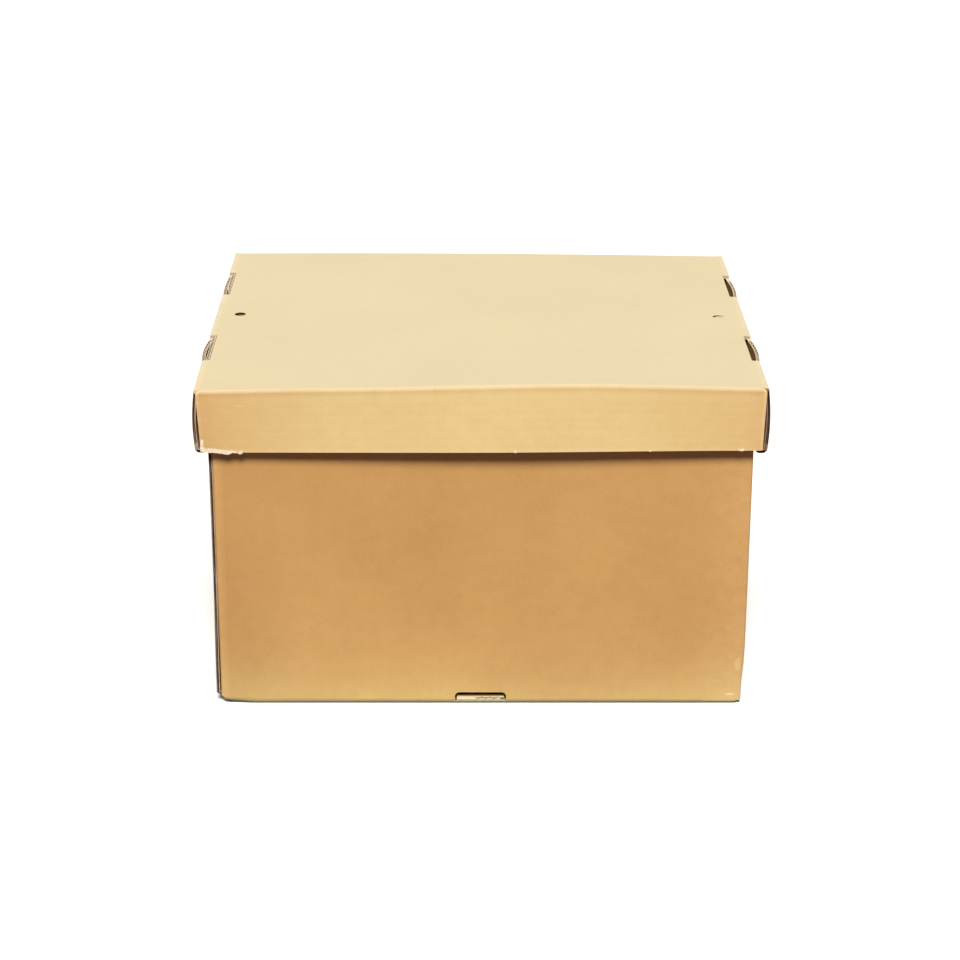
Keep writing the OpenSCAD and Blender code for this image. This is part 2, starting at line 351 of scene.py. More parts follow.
class Sheet:
    """Collects the patches of one folded sheet and makes one closed mesh of them."""

    def __init__(self, name: str, board: Board = BOARD) -> None:
        """Starts an empty sheet of a board."""
        self.name, self.board = name, board
        self.points: list[Array] = []
        self.flat: list[Array] = []
        self.rubs_and_painted_light: list[Array] = []
        self.faces: list[Array] = []
        self.skins: list[Array] = []
        self.count = 0

    def _points(self, patch: Patch, u: Array, v: Array, w: Array) -> int:
        """Adds points of the blank, folded into space, and returns the first one's number."""
        w = np.broadcast_to(w, u.shape)
        first = self.count
        self.points.append(patch.place(u, v, w))
        self.flat.append(np.stack([u, v, w], axis=-1) * MM)
        self.rubs_and_painted_light.append(patch.rub_and_painted_light(u, v))
        self.count += len(u)
        return first

    def _faces(self, faces: Array, skin: Skin, turned: bool = False) -> None:
        """Adds four-sided faces of one skin, turned over where the patch is left-handed."""
        self.faces.append(faces[:, ::-1] if turned else faces)
        self.skins.append(np.full(len(faces), skin.value))

    def add(self, patch: Patch) -> None:
        """Adds both faces of a patch, its cut edges and the flutes seen in them."""
        half = self.board.half
        u, v = patch.at_u.ravel(), patch.at_v.ravel()
        number = np.arange(u.size).reshape(patch.at_u.shape)
        turned = self._left_handed(patch)
        outer = self._points(patch, u, v, np.full(u.size, half))
        inner = self._points(patch, u, v, np.full(u.size, -half))
        i, j = np.nonzero(patch.kept)
        corners = [number[i, j], number[i + 1, j], number[i + 1, j + 1], number[i, j + 1]]
        quads = np.stack(corners, axis=-1)
        self._faces(quads + outer, Skin.OUTER, turned)
        self._faces(quads + inner, Skin.INNER, not turned)
        edges, joined = self._edges(patch, number)
        self._cut_edges(patch, edges, joined, outer, inner, turned)
        self._flutes(patch, turned)

    def _left_handed(self, patch: Patch) -> bool:
        """Whether the steps along u, v and w make a left-handed turn in space."""
        i, j = np.argwhere(patch.kept)[len(np.argwhere(patch.kept)) // 2]
        steps = np.eye(4)[1:] * 0.01
        u = (patch.u[i] + patch.u[i + 1]) / 2 + steps[0]
        v = (patch.v[j] + patch.v[j + 1]) / 2 + steps[1]
        p = patch.place(u, v, steps[2])
        return float(np.dot(np.cross(p[1] - p[0], p[2] - p[0]), p[3] - p[0])) < 0.0

    def _edges(self, patch: Patch, number: Array) -> tuple[Array, Array]:
        """Edges with material on one side only, drawn with the material on their left.

        Args:
            patch: The patch.
            number: Number of each lattice point.

        Returns:
            The edges as pairs of points, and the points on seams.
        """
        side = np.pad(patch.kept, 1)
        below, above = side[1:-1, :-1], side[1:-1, 1:]
        mid_u = (patch.u[:-1] + patch.u[1:]) / 2
        open_row = np.zeros_like(below)
        for v, low, high in patch.seams:
            at = np.argmin(np.abs(patch.v - v))
            open_row[:, at] |= (mid_u > low) & (mid_u < high)
        a, b = number[:-1, :], number[1:, :]
        up = above & ~below & ~open_row
        down = below & ~above & ~open_row
        pairs = [np.stack([a[up], b[up]], -1), np.stack([b[down], a[down]], -1)]
        before, after = side[:-1, 1:-1], side[1:, 1:-1]
        a, b = number[:, :-1], number[:, 1:]
        left, right = before & ~after, after & ~before
        pairs += [np.stack([a[left], b[left]], -1), np.stack([b[right], a[right]], -1)]
        at = np.nonzero(open_row)
        joined = np.unique(np.concatenate([number[at], number[at[0] + 1, at[1]]]))
        return np.concatenate(pairs), joined

    def _cut_edges(
        self, patch: Patch, edges: Array, joined: Array, outer: int, inner: int, turned: bool
    ) -> None:
        """Closes the cut edges as liner, hollow, liner.

        The hollow goes inwards along the mean of the two edges' normals, n1 + n2, lengthened by
        2 / |n1 + n2|^2 so that its sides stay parallel. Its depth is 0 where a seam ends and where
        the edge is crushed.
        """
        u, v = patch.at_u.ravel(), patch.at_v.ravel()
        step = np.stack([u[edges[:, 1]] - u[edges[:, 0]], v[edges[:, 1]] - v[edges[:, 0]]], -1)
        step /= np.maximum(np.linalg.norm(step, axis=1, keepdims=True), LEAST)
        normal = np.stack([-step[:, 1], step[:, 0]], -1)
        total = np.zeros((u.size, 2))
        np.add.at(total, edges[:, 0], normal)
        np.add.at(total, edges[:, 1], normal)
        used = np.unique(edges)
        into = total[used]
        into *= 2.0 / np.maximum((into**2).sum(axis=1, keepdims=True), 0.6)
        into *= self.board.hollow
        into[np.isin(used, joined) | patch.is_crushed(u[used], v[used])] = 0.0
        lip = self.board.half - self.board.liner
        rows = [(0.0, lip), (1.0, lip), (1.0, -lip), (0.0, -lip)]
        slot = np.full(u.size, -1)
        slot[used] = np.arange(len(used))
        starts = [
            self._points(patch, u[used] + into[:, 0] * d, v[used] + into[:, 1] * d, np.array(w))
            for d, w in rows
        ]
        near, far = edges[:, 0], edges[:, 1]
        ladder = [(near + outer, far + outer)]
        ladder += [(slot[near] + first, slot[far] + first) for first in starts]
        ladder += [(near + inner, far + inner)]
        skins = [Skin.CUT, Skin.HOLLOW, Skin.HOLLOW, Skin.HOLLOW, Skin.CUT]
        for (a, b), (c, d), skin in zip(ladder[:-1], ladder[1:], skins):
            self._faces(np.stack([a, c, d, b], -1), skin, turned)

    def _flutes(self, patch: Patch, turned: bool) -> None:
        """Lays the fluted medium into each straight cut edge."""
        side = np.pad(patch.kept, 1)
        views = ((patch.v, patch.u, patch.at_v, side), (patch.u, patch.v, patch.at_u.T, side.T))
        for axis, (rows, lines, lattice, cells) in enumerate(views):
            across = (patch.flutes is Flutes.ALONG_V) ^ bool(axis)
            for number, row in enumerate(rows):
                straight = np.abs(lattice[:, number] - row) < TINY
                before, after = cells[1:-1, number], cells[1:-1, number + 1]
                for sign, edge in ((1, after & ~before), (-1, before & ~after)):
                    for run in self._runs(lines, edge & straight[:-1] & straight[1:]):
                        if axis or not self._joined(patch, row, *run):
                            self._ribbon(patch, run, row, sign, axis, across, turned)

    def _runs(self, lines: Array, flags: Array) -> list[Pair]:
        """Ends of each unbroken run of flagged spaces between the lines."""
        change = np.diff(np.pad(flags.astype(int), 1))
        begins, ends = np.nonzero(change == 1)[0], np.nonzero(change == -1)[0]
        return [(float(lines[a]), float(lines[b])) for a, b in zip(begins, ends)]

    def _joined(self, patch: Patch, v: float, low: float, high: float) -> bool:
        """Whether a run lies on a seam."""
        mid = (low + high) / 2
        return any(abs(v - s[0]) < TINY and s[1] < mid < s[2] for s in patch.seams)

    def _ribbon(
        self, patch: Patch, run: Pair, at: float, sign: int, axis: int, across: bool, turned: bool
    ) -> None:
        """Lays one ribbon of fluted paper along a cut edge.

        Across the flutes its height is A sin(2 pi q / pitch). Along them the cut meets one
        slope of a flute, so the height drifts slowly: A sin of two long waves.

        Args:
            patch: The patch that is cut.
            run: Both ends of the ribbon, along the edge.
            at: Place of the edge across it.
            sign: 1 where the board lies above the edge, -1 below.
            axis: 0 for an edge along u, 1 along v.
            across: Whether the edge crosses the flutes.
            turned: Whether the patch is left-handed.
        """
        low, high = run
        if high - low < 2.0:
            return
        board = self.board
        swing = board.half - board.liner - board.medium / 2
        count = int((high - low) / board.pitch * 10) + 2 if across else int((high - low) / 8) + 3
        q = np.linspace(low + board.ribbon_gap, high - board.ribbon_gap, count)
        height = swing * np.sin(2 * np.pi * q / board.pitch)
        skin = Skin.FLUTE
        if not across:
            wave, drift = board.long_waves
            height = swing * np.sin(2 * np.pi * q / wave + at * 0.7 + np.sin(q / drift))
            skin = Skin.SLOPE
        ring = [(0.2, -0.5), (0.2, 0.5), (board.hollow + 0.6, 0.5), (board.hollow + 0.6, -0.5)]
        starts = []
        for depth, shift in ring:
            side = np.full(count, at + sign * depth)
            u, v = (side, q) if axis else (q, side)
            starts.append(self._points(patch, u, v, height + shift * board.medium))
        over = turned ^ (sign < 0) ^ bool(axis)
        self._faces(bar_faces(starts, count), skin, over)

    def make(self, materials: Materials, warp: Callable[[Array], Array]) -> bpy.types.Object:
        """Makes the mesh, bends it by a warp and joins the seams.

        Args:
            materials: One for each skin, in order.
            warp: Moves points in space, in millimetres.

        Returns:
            The object, at the origin.
        """
        points = warp(np.concatenate(self.points)) * MM
        mesh = bpy.data.meshes.new(self.name)
        mesh.from_pydata(points, [], np.concatenate(self.faces))
        mesh.attributes.new("blank", "FLOAT_VECTOR", "POINT")
        mesh.attributes["blank"].data.foreach_set("vector", np.concatenate(self.flat).ravel())
        mesh.attributes.new("rub_and_painted_light", "FLOAT", "POINT")
        mesh.attributes["rub_and_painted_light"].data.foreach_set("value", np.concatenate(self.rubs_and_painted_light))
        for material in materials:
            mesh.materials.append(material)
        mesh.polygons.foreach_set("material_index", np.concatenate(self.skins))
        shell = bmesh.new()
        shell.from_mesh(mesh)
        bmesh.ops.delete(shell, geom=[v for v in shell.verts if not v.link_faces], context="VERTS")
        bmesh.ops.remove_doubles(shell, verts=shell.verts, dist=WELD_METRES)
        for face in shell.faces:
            face.smooth = True
        shell.to_mesh(mesh)
        shell.free()
        mesh.set_sharp_from_angle(angle=math.radians(MAX_SMOOTH_ANGLE))
        return add_object(self.name, mesh)


def wall_path_place(wall: Path, flap: Path, outward: int) -> Place:
    """Folds a flap that hangs on a wall: u runs along the wall, v along the flap.

    Args:
        wall: The walls' middle line in plan.
        flap: The flap's middle line, as distance inwards from the wall and height.
        outward: 1 where the outer face is on the left of the flap's line, -1 on its right.

    Returns:
        The function that folds the flap's points.
    """

    def place(u: Array, v: Array, w: Array) -> Array:
        x, y, heading = wall.at(u)
        inwards, height = flap.beside(v, w * outward)
        return np.stack([x + inwards * np.sin(heading), y - inwards * np.cos(heading), height], -1)

    return place


@dataclass
class BodySheet:
    """The body: four walls in one band, bottom flaps, rolled rims and a glued lap."""

    width: float = 413.0
    depth: float = 350.5
    height: float = 260.4
    lap: float = 35.0
    lap_slope: float = 8.0
    raw_setback: float = 0.6
    end_flap: float = 112.0
    tongue: float = 37.0
    tongue_root: float = 16.0
    slot_side: float = 1.6
    slot_height: float = 9.9
    slot_round: float = 3.5
    relief_left: float = 17.0
    relief_right: float = 6.0
    relief_from: float = 6.4
    flap_gap: float = 1.5
    hand_width: float = 90.0
    hand_height: float = 30.0
    hand_drop: float = 66.0
    roll_flap: float = 112.0
    roll_width: float = 262.0
    gape: float = 0.9
    foot_lift: Pair = (1.5, 4.5)
    tongue_lift: float = 0.6
    pressed_in: float = 2.0
    bowed_out: float = 0.9
    corner_pushed: float = 1.7
    gape_lines: Pair = (1.5, 4.0)
    lift_lines: tuple[float, ...] = (4.0, 8.0, 12.0, 17.0, 21.0, 25.0)
    foot_lines: Triple = (12.0, 14.0, 20.0)
    rim_lines: Pair = (2.0, 5.0)
    step: float = 15.0
    flap_step: float = 26.0
    board: Board = BOARD
    bends: dict[str, Path] = field(default_factory=dict)

    def __post_init__(self) -> None:
        """Works out the middle lines of the walls and flaps."""
        b = self.board
        self.out = b.crease + b.thick
        self.wall_x = self.width / 2 - b.half
        self.wall_y = self.depth / 2 - b.half
        self.lap_x = self.wall_x - b.thick
        self.roll_z = self.height - b.thick - b.layer_gap / 2
        self.levels = [0.0, b.thick + b.layer_gap, 2 * (b.thick + b.layer_gap)]
        start_y = self.raw_setback - self.depth / 2
        runs = (
            self.wall_y - b.mid - start_y,
            2 * (self.wall_x - b.mid),
            2 * (self.wall_y - b.mid),
            self.wall_x + self.lap_x - 2 * b.mid,
            self.lap,
        )
        moves = [move for run in runs for move in ((run, 0.0), b.fold(-90))][:-1]
        self.wall = Path((-self.wall_x, start_y, 90.0), moves)
        at = self.wall.begins
        self.left_mid = at[0] - start_y
        self.back_mid = at[2] + self.wall_x - b.mid
        self.right_mid = at[4] + self.wall_y - b.mid
        self.front_mid = at[6] + self.wall_x - b.mid
        half_slot = self.tongue / 2 + self.slot_side
        self.slot_ends = (self.front_mid - half_slot, self.front_mid + half_slot)
        self.relief = (
            self.front_mid - self.width / 2 + self.relief_right,
            self.front_mid + self.width / 2 - self.relief_left,
        )
        self.flap_half = self.depth / 2 - b.thick - self.flap_gap
        self.hole_top = self.height - self.hand_drop
        reach = self.depth - self.out - self.tongue_root
        front_reach = self.depth - b.thick - self.flap_gap - b.mid - b.half
        layers = {
            "front": [self.relief_from, front_reach - self.relief_from],
            "back": [reach, self.tongue_root],
            "end": [self.end_flap],
        }
        for level, (name, runs) in zip(self.levels, layers.items()):
            moves = [b.fold(90), *[(run, 0.0) for run in runs]]
            self.bends[name] = Path((0.0, level + self.out, -90.0), moves)
        roll = [(b.rolled * math.pi, -180.0), (self.roll_flap, 0.0)]
        self.bends["roll"] = Path((0.0, self.roll_z, 90.0), roll)

    def wall_place(self, u: Array, v: Array, w: Array) -> Array:
        """Walls: u along the plan's middle line, v is the height, w outwards."""
        x, y = self.wall.beside(u, self.wall.sharpened(u, w, 2.0))
        return np.stack([x - self._gape(u, v), y, v + self._lift(u, v)], -1)

    def _gape(self, u: Array, z: Array) -> Array:
        """How far the raw front edge of the left wall stands off at its foot."""
        return self.gape * ramp(u, 75.0, 0.0) * ramp(z, 115.0, 15.0)

    def _lift(self, u: Array, z: Array) -> Array:
        """How far the front wall's foot is turned up towards its left corner."""
        corner, (gentle, steep) = self.wall.begins[7], self.foot_lift
        rise = gentle * ramp(u - corner, -25.0, -5.0) + steep * ramp(u - corner, -0.5, 3.0)
        return rise * ramp(z, 24.0, 2.0)

    def _hole_stops(self, mid: float, low: float, high: float) -> tuple[list[float], list[float]]:
        """Lines for a hand hole with round ends, about a place along the wall."""
        half, r = self.hand_width / 2, self.hand_height / 2
        u = [x for side in (-1, 1) for x in fan(mid + side * (half - r), r)]
        return u, list(fan((low + high) / 2, r))

    def walls(self) -> Patch:
        """The four walls and the glued lap."""
        at, hole_top, flap_half = self.wall.begins, self.hole_top, self.flap_half
        u = self.wall.stops(arc=11.25)
        v = [*[x + self.out for x in self.levels], self.roll_z, self.height, self.slot_height]
        v += [*self.foot_lines, *[self.height - x for x in self.rim_lines]]
        for end, inwards in zip(self.slot_ends, (1, -1)):
            u += list(fan(end + inwards * self.slot_round, self.slot_round, 7))
        slot_mid = self.slot_height - self.slot_round
        v += [x for x in fan(slot_mid, self.slot_round, 7) if x > slot_mid - 1.2]
        for mid in (self.left_mid, self.right_mid):
            hole_u, hole_v = self._hole_stops(mid, hole_top - self.hand_height, hole_top)
            u += hole_u + [mid - flap_half, mid + flap_half]
            u += [mid - self.roll_width / 2, mid + self.roll_width / 2]
            v += hole_v
        u += [at[6], at[7], *[at[7] - x for x in self.lift_lines], *self.gape_lines]
        u += [mid + side * self.tongue / 2 for mid in (self.front_mid, self.back_mid) for side in (-1, 1)]
        u += self.relief
        u, v = lines_between(u, self.step), lines_between(v, self.step)
        patch = Patch(u, v, self.wall_place, Flutes.ALONG_V)
        low = [x + self.out for x in self.levels]
        for wall, level in ((0, low[2]), (2, low[1]), (4, low[2])):
            patch.cut((at[wall], 0.0), (at[wall + 1], level))
        for mid in (self.left_mid, self.right_mid):
            begin, end = mid - self.roll_width / 2, mid + self.roll_width / 2
            patch.cut((begin, self.roll_z), (end, self.height))
            patch.seam(self.roll_z, begin, end)
            patch.seam(low[2], mid - flap_half, mid + flap_half)
            patch.cut(
                (mid - self.hand_width / 2, hole_top - self.hand_height),
                (mid + self.hand_width / 2, hole_top),
                self.hand_height / 2,
            )
        patch.seam(low[1], at[2], at[3])
        begin, end = self.slot_ends
        patch.cut((begin, -FAR), (end, self.slot_height), self.slot_round)
        patch.seam(low[0], at[6], begin)
        patch.seam(low[0], end, at[7])
        middle = (self.height + self.out) / 2
        shrink = 2 * self.lap_slope / (self.height - self.out) / self.lap
        sloped = 1 - shrink * np.clip(patch.at_u - at[8], 0.0, None)
        patch.at_v = middle + (patch.at_v - middle) * sloped
        # Corner creases rubbed paler, partly a painted highlight where the folds catch the light.
        patch.wear_and_painted_light = [(0, (at[k] + at[k + 1]) / 2, 2.6, 0.5) for k in (1, 3, 5, 7)]
        # The left wall's raw front edge is rubbed paler; painted shade darkens the walls' foot, where the
        # bottom crease turns under.
        patch.wear_and_painted_light += [(0, 0.0, 1.6, 0.5), (1, self.out - 1.0, 2.0, -0.6)]
        # Painted shade darkens the front wall broadly towards its left end, and a painted highlight lightens
        # a band at its right end.
        patch.wear_and_painted_light += [(0, at[7], 120.0, -0.265), (0, at[6] + 2.0, 26.0, 0.65)]
        return patch

    def front_flap(self, walls: Patch) -> Patch:
        """Lowest layer of the bottom, with a sloping relief at each front corner."""
        path, at, (begin, end) = self.bends["front"], self.wall.begins, self.slot_ends
        v = lines_between([*path.stops(arc=11.25), path.length - 2.0], self.flap_step)
        place = shifted(
            wall_path_place(self.wall, path, -1), 2,
            lambda u, v: self._lift(u, self.out) * ramp(v, 16.0, 3.0),
        )
        patch = Patch(walls.lines_in(at[6], at[7]), v, place, Flutes.ALONG_V)
        right, left = self.relief
        patch.cut((0.0, path.begins[2]), (right, path.length))
        patch.cut((left, path.begins[2]), (FAR, path.length))
        patch.cut((begin, -FAR), (end, v[1]))
        patch.seam(0.0, at[6], begin)
        patch.seam(0.0, end, at[7])
        near = np.minimum((patch.at_u - at[6]) / (right - at[6]), (at[7] - patch.at_u) / (at[7] - left))
        folded = patch.at_v <= path.begins[2] + TINY
        patch.at_v = np.where(folded, patch.at_v * np.clip(near, 0.06, 1.0), patch.at_v)
        # Painted shade: the lower part of the bottom crease is darkened where it meets the floor.
        patch.wear_and_painted_light = [(1, path.begins[1] * 0.7, 2.4, -1.0)]
        return patch

    def back_flap(self, walls: Patch) -> Patch:
        """Second layer of the bottom, with the tongue that reaches through the front wall."""
        path, at = self.bends["back"], self.wall.begins
        v = lines_between([*path.stops(arc=6.0), *[path.length - x for x in (1.0, 3.0, 6.0)]], self.flap_step)
        place = shifted(
            wall_path_place(self.wall, path, -1), 2,
            lambda u, v: self.tongue_lift * ramp(v - path.length, -40.0, -5.0),
        )
        patch = Patch(walls.lines_in(at[2], at[3]), v, place, Flutes.ALONG_V)
        patch.cut((0.0, path.begins[2]), (self.back_mid - self.tongue / 2, FAR))
        patch.cut((self.back_mid + self.tongue / 2, path.begins[2]), (FAR, FAR))
        patch.seam(0.0, at[2], at[3])
        # The crease is rubbed paler; painted shade darkens the tongue's top near its tip, inside the slot.
        patch.wear_and_painted_light = [(1, path.begins[1] / 2, 3.0, 0.6), (1, path.length - 3.2, 2.6, -1.0)]
        patch.crushed = [((self.back_mid - 25.0, path.length - 1.0), (self.back_mid - 3.0, FAR))]
        return patch

    def end_flap_at(self, walls: Patch, mid: float) -> Patch:
        """Innermost layer of the bottom at one end."""
        path, half = self.bends["end"], self.flap_half
        v = lines_between([*path.stops(arc=11.25), 12.0, 20.0], self.flap_step)
        level = self.out + self.levels[2]
        place = shifted(
            wall_path_place(self.wall, path, -1), 0,
            lambda u, v: -self._gape(u, level) * ramp(v, 30.0, 0.0),
        )
        patch = Patch(walls.lines_in(mid - half, mid + half), v, place, Flutes.ALONG_V)
        patch.seam(0.0, mid - half, mid + half)
        patch.wear_and_painted_light = [(1, path.begins[1] / 2, 3.0, 0.6)]
        return patch

    def rolled_rim_at(self, walls: Patch, mid: float) -> Patch:
        """Flap rolled inwards over the rim of one end wall, with its half of the hand hole."""
        path, half = self.bends["roll"], self.roll_width / 2
        top = path.begins[1] + self.roll_z - self.hole_top
        hole_v = self._hole_stops(mid, top, top + self.hand_height)[1]
        v = lines_between([*path.stops(arc=18.0), *hole_v], 16.0)
        u, place = walls.lines_in(mid - half, mid + half), wall_path_place(self.wall, path, 1)
        patch = Patch(u, v, place, Flutes.ALONG_V)
        low = (mid - self.hand_width / 2, top)
        patch.cut(low, (mid + self.hand_width / 2, top + self.hand_height), self.hand_height / 2)
        patch.seam(0.0, mid - half, mid + half)
        patch.wear_and_painted_light = [(1, path.begins[1] / 2, 2.5, 1.0)]
        return patch

    def warp(self, p: Array) -> Array:
        """Small bends of the walls.

        The front wall is pressed in and the back wall bows out, by a half wave in x and z. The
        lower right corner is pushed aside, and the rim sinks at the front left.
        """
        x, y, z = p[:, 0], p[:, 1], p[:, 2]
        tall = hump(z, 9.0, 300.0) * hump(x, -212.0, 212.0)
        near_front = ramp(y, -167.0, -172.0)
        near_back = ramp(y, 167.0, 172.0)
        y = y + tall * near_front * self.pressed_in + tall * near_back * self.bowed_out
        low_right = ramp(x, 185.0, 205.0) * ramp(y, -120.0, -170.0) * ramp(z, 45.0, 12.0)
        x = x - self.corner_pushed * low_right
        z = z - droop(x, y, z)
        return np.stack([x, y, z], -1)

    def build(self, materials: Materials) -> bpy.types.Object:
        """Joins the patches into the body's sheet."""
        sheet, walls = Sheet("body_sheet", self.board), self.walls()
        for patch in (walls, self.front_flap(walls), self.back_flap(walls)):
            sheet.add(patch)
        for mid in (self.left_mid, self.right_mid):
            sheet.add(self.end_flap_at(walls, mid))
            sheet.add(self.rolled_rim_at(walls, mid))
        return sheet.make(materials, self.warp)


@dataclass
class LidSheet:
    """The lid: a tray with plain skirts and rolled end walls whose tabs stand in slots."""

    body: BodySheet
    skirt: float = 50.0
    end_height: float = 51.4
    bow: float = 1.4
    side_fit: float = 0.3
    front_fit: float = 4.45
    rim_gap: float = 0.3
    corner_flap: float = 90.0
    corner_flap_height: float = 24.0
    end_setback: float = 0.6
    lean: float = 8.5
    lean_bend: float = 6.0
    slots_left: tuple[Slot, Slot] = (
        Slot(-114.0, -51.8, 2.3, (-112.2, -53.6)),
        Slot(56.6, 120.6, 1.0, (74.9, 118.7)),
    )
    slots_right: tuple[Slot, Slot] = (Slot(-115.2, -51.8, 2.4), Slot(55.7, 119.0, 2.1))
    slot_round: float = 1.7
    slot_past: float = 0.4
    tab_gap: float = 0.15
    tab_sunk: float = 0.5
    disc: float = 9.0
    disc_cut: float = 0.3
    corner_sharp: float = 4.0
    corner_keep: Triple = (0.1, 0.65, 0.25)
    shut_edge: Pair = (208.0, 214.4)
    shut_rows: Pair = (178.0, 184.0)
    slot_shut: float = 1.8
    disc_left: Pair = (-195.8, 2.8)
    disc_right: Pair = (194.2, -1.3)
    pushed_left: Pair = (50.0, 262.0)
    pushed_right: Pair = (7.5, -40.0)
    flare: Triple = (1.4, -1.3, -0.5)
    skirt_lift: float = 1.9
    stand_off: Triple = (1.8, 1.5, 0.33)
    bow_front: Pair = (3.7, 75.0)
    bow_back: Pair = (3.2, 1.2)
    step: float = 14.0
    board: Board = BOARD

    def __post_init__(self) -> None:
        """Works out the middle lines of the ends and the levels of the skirts."""
        b = self.board
        stack = 3 * b.thick + 2 * b.layer_gap
        self.width = self.body.width + 2 * (self.side_fit + stack)
        self.depth = self.body.depth + 2 * (self.front_fit + b.thick)
        self.top = self.body.height + self.rim_gap + b.thick
        self.fold_z = self.top - b.crease - b.thick
        self.crease_x = self.width / 2 - b.crease - b.thick
        self.crease_y = self.depth / 2 - b.crease - b.thick
        self.corner_x = self.width / 2 - b.thick - b.layer_gap - b.half - b.mid
        self.left, self.right = self._end(self.lean), self._end(0.0)
        self.slots = [(-1, slot) for slot in self.slots_left] + [(1, slot) for slot in self.slots_right]
        self.slot_out = float(self.right.begins[2]) + self.slot_past
        self.slot_in = float(self.left.x[9]) - b.half / math.cos(math.radians(self.lean)) - self.tab_gap
        self.end_foot = float(self.right.begins[3])

    def _end(self, lean: float) -> Path:
        """Middle line from the lid's middle over one end wall, round its foot and up inside."""
        b, inner_x = self.board, self.body.width / 2 + self.side_fit + self.board.half
        turn = 2 * math.degrees(math.atan(2 * self.bow / (self.end_height - b.thick - 2 * b.mid)))
        rad = math.radians(turn)
        chord = self.end_height - b.thick - 2 * b.mid * (1 - math.sin(rad))
        length = chord * rad / math.sin(rad)
        moves = [(self.crease_x, 0.0), b.fold(turn - 90), (length, -2 * turn), b.fold(turn - 90)]
        foot = Path((0.0, self.top - b.half, 0.0), moves)
        run = float(foot.x[-1]) - inner_x - b.mid
        low = float(foot.y[-1]) + b.mid
        bend, angle = self.lean_bend, max(lean, 0.01)
        rise = bend * math.sin(math.radians(angle)) / math.radians(angle)
        rest = (self.fold_z - low - self.corner_flap_height - rise) / math.cos(math.radians(angle))
        moves += [(run, 0.0), b.fold(-90), (self.corner_flap_height, 0.0), (bend, -angle)]
        tab = (self.top - self.tab_sunk - self.fold_z) / math.cos(math.radians(angle))
        moves += [(rest, 0.0), (tab, 0.0)]
        return Path((0.0, self.top - b.half, 0.0), moves)

    def _bulge(self, u: Array, v: Array) -> Array:
        """How far an end wall's cut top edge stands out between the ends of a slot.

        It is a half wave along the slot, and fades smoothly down the wall.
        """
        below = (np.abs(u) - self.slot_out + self.slot_past) / 24.0
        swell = np.zeros_like(u)
        for side, slot in self.slots:
            swell = swell + slot.bulge * hump(v, slot.low, slot.high) ** 0.5 * (u * side > 0)
        return smooth(1.0 - below) * (np.abs(u) > self.crease_x) * swell

    def top_place(self, u: Array, v: Array, w: Array) -> Array:
        """Top and ends: u over the ends' middle line, v is y, w outwards."""
        s, crease = np.abs(u), self.left.begins[1:3]
        w = np.where(s < crease[1], self.right.sharpened(s, w, self.corner_sharp), w)
        x, z = (np.where(u < 0, *both) for both in zip(self.left.beside(s, w), self.right.beside(s, w)))
        outer = (s < self.end_foot) * self._bulge(u, v)
        over = np.clip(np.abs(v) - self.crease_y, 0.0, None)
        corner = ramp(s, self.corner_x, crease[0])
        least, drawn, last = self.corner_keep
        keep = least + drawn * corner + last * ramp(s - crease[0], 0.0, 22.0)
        y = np.sign(v) * (np.abs(v) - over * (1.0 - keep))
        return np.stack([np.sign(u) * (x + outer), y, z], -1)

    def lift(self, x: Array) -> Array:
        """How much shorter than its left end the front skirt hangs towards the right."""
        return self.skirt_lift * ramp(x, -20.0, 215.0)

    def skirt_place(self, side: int) -> Place:
        """Skirt and corner flaps: u along the skirt, v over its crease and down.

        With r the distance from the crease's centre, a the turn round the corner and b the
        turn over the crease, x = x0 + r sin a sin b, y = y0 + r cos a sin b, z = z0 + r cos b.
        Outside the middle line the corner is drawn sharper, by (sin^n a + cos^n a)^(-1/n).
        """
        b = self.board

        def place(u: Array, v: Array, w: Array) -> Array:
            r = b.mid + w
            over = np.clip((v - self.crease_y) / b.mid, 0.0, math.pi / 2)
            lift = self.lift(u) * (side < 0)
            down = np.clip(v - self.crease_y - b.mid * math.pi / 2, 0.0, None)
            down = down * (1.0 - lift / self.skirt)
            turn = np.clip((np.abs(u) - self.corner_x) / b.mid, 0.0, math.pi / 2)
            back = np.clip(np.abs(u) - self.corner_x - b.mid * math.pi / 2, 0.0, None)
            n = 2.0 + self.corner_sharp * np.clip(w / b.half, 0.0, 1.0)
            round_r = r * (np.sin(turn) ** n + np.cos(turn) ** n) ** (-1.0 / n) * np.sin(over)
            high = self.flare[0]
            low = np.where(u < 0.0, self.flare[1], self.flare[2])
            slant = high + (low - high) * down / self.skirt
            slant = slant * ramp(np.abs(u), 150.0, 205.0) * (1.0 - ramp(back, 0.0, 14.0))
            x = np.minimum(np.abs(u), self.corner_x) + round_r * np.sin(turn) + slant * np.sin(over)
            y = self.crease_y - back + round_r * np.cos(turn)
            z = self.fold_z + r * np.cos(over) - down
            return np.stack([np.sign(u) * x, side * y, z], -1)

        return place

    def chad_place(self, middle: Pair, tilt: float, hinge: float) -> Place:
        """Punched disc that is still held at one side and pushed in by a tilt.

        Args:
            middle: The disc's middle on the top panel.
            tilt: Tilt in degrees.
            hinge: Direction from the middle to the uncut side, in degrees from +X.

        Returns:
            The function that places the disc's points.
        """
        angle, turn = math.radians(tilt), math.radians(hinge)
        reach = self.disc / 2

        def place(u: Array, v: Array, w: Array) -> Array:
            du, dv = u - middle[0], v - middle[1]
            away = reach - (du * math.cos(turn) + dv * math.sin(turn))
            shift = away - away * math.cos(angle) + w * math.sin(angle)
            x = u + shift * math.cos(turn)
            y = v + shift * math.sin(turn)
            z = self.top - self.board.half - away * math.sin(angle) + w * math.cos(angle)
            return np.stack([x, y, z], -1)

        return place

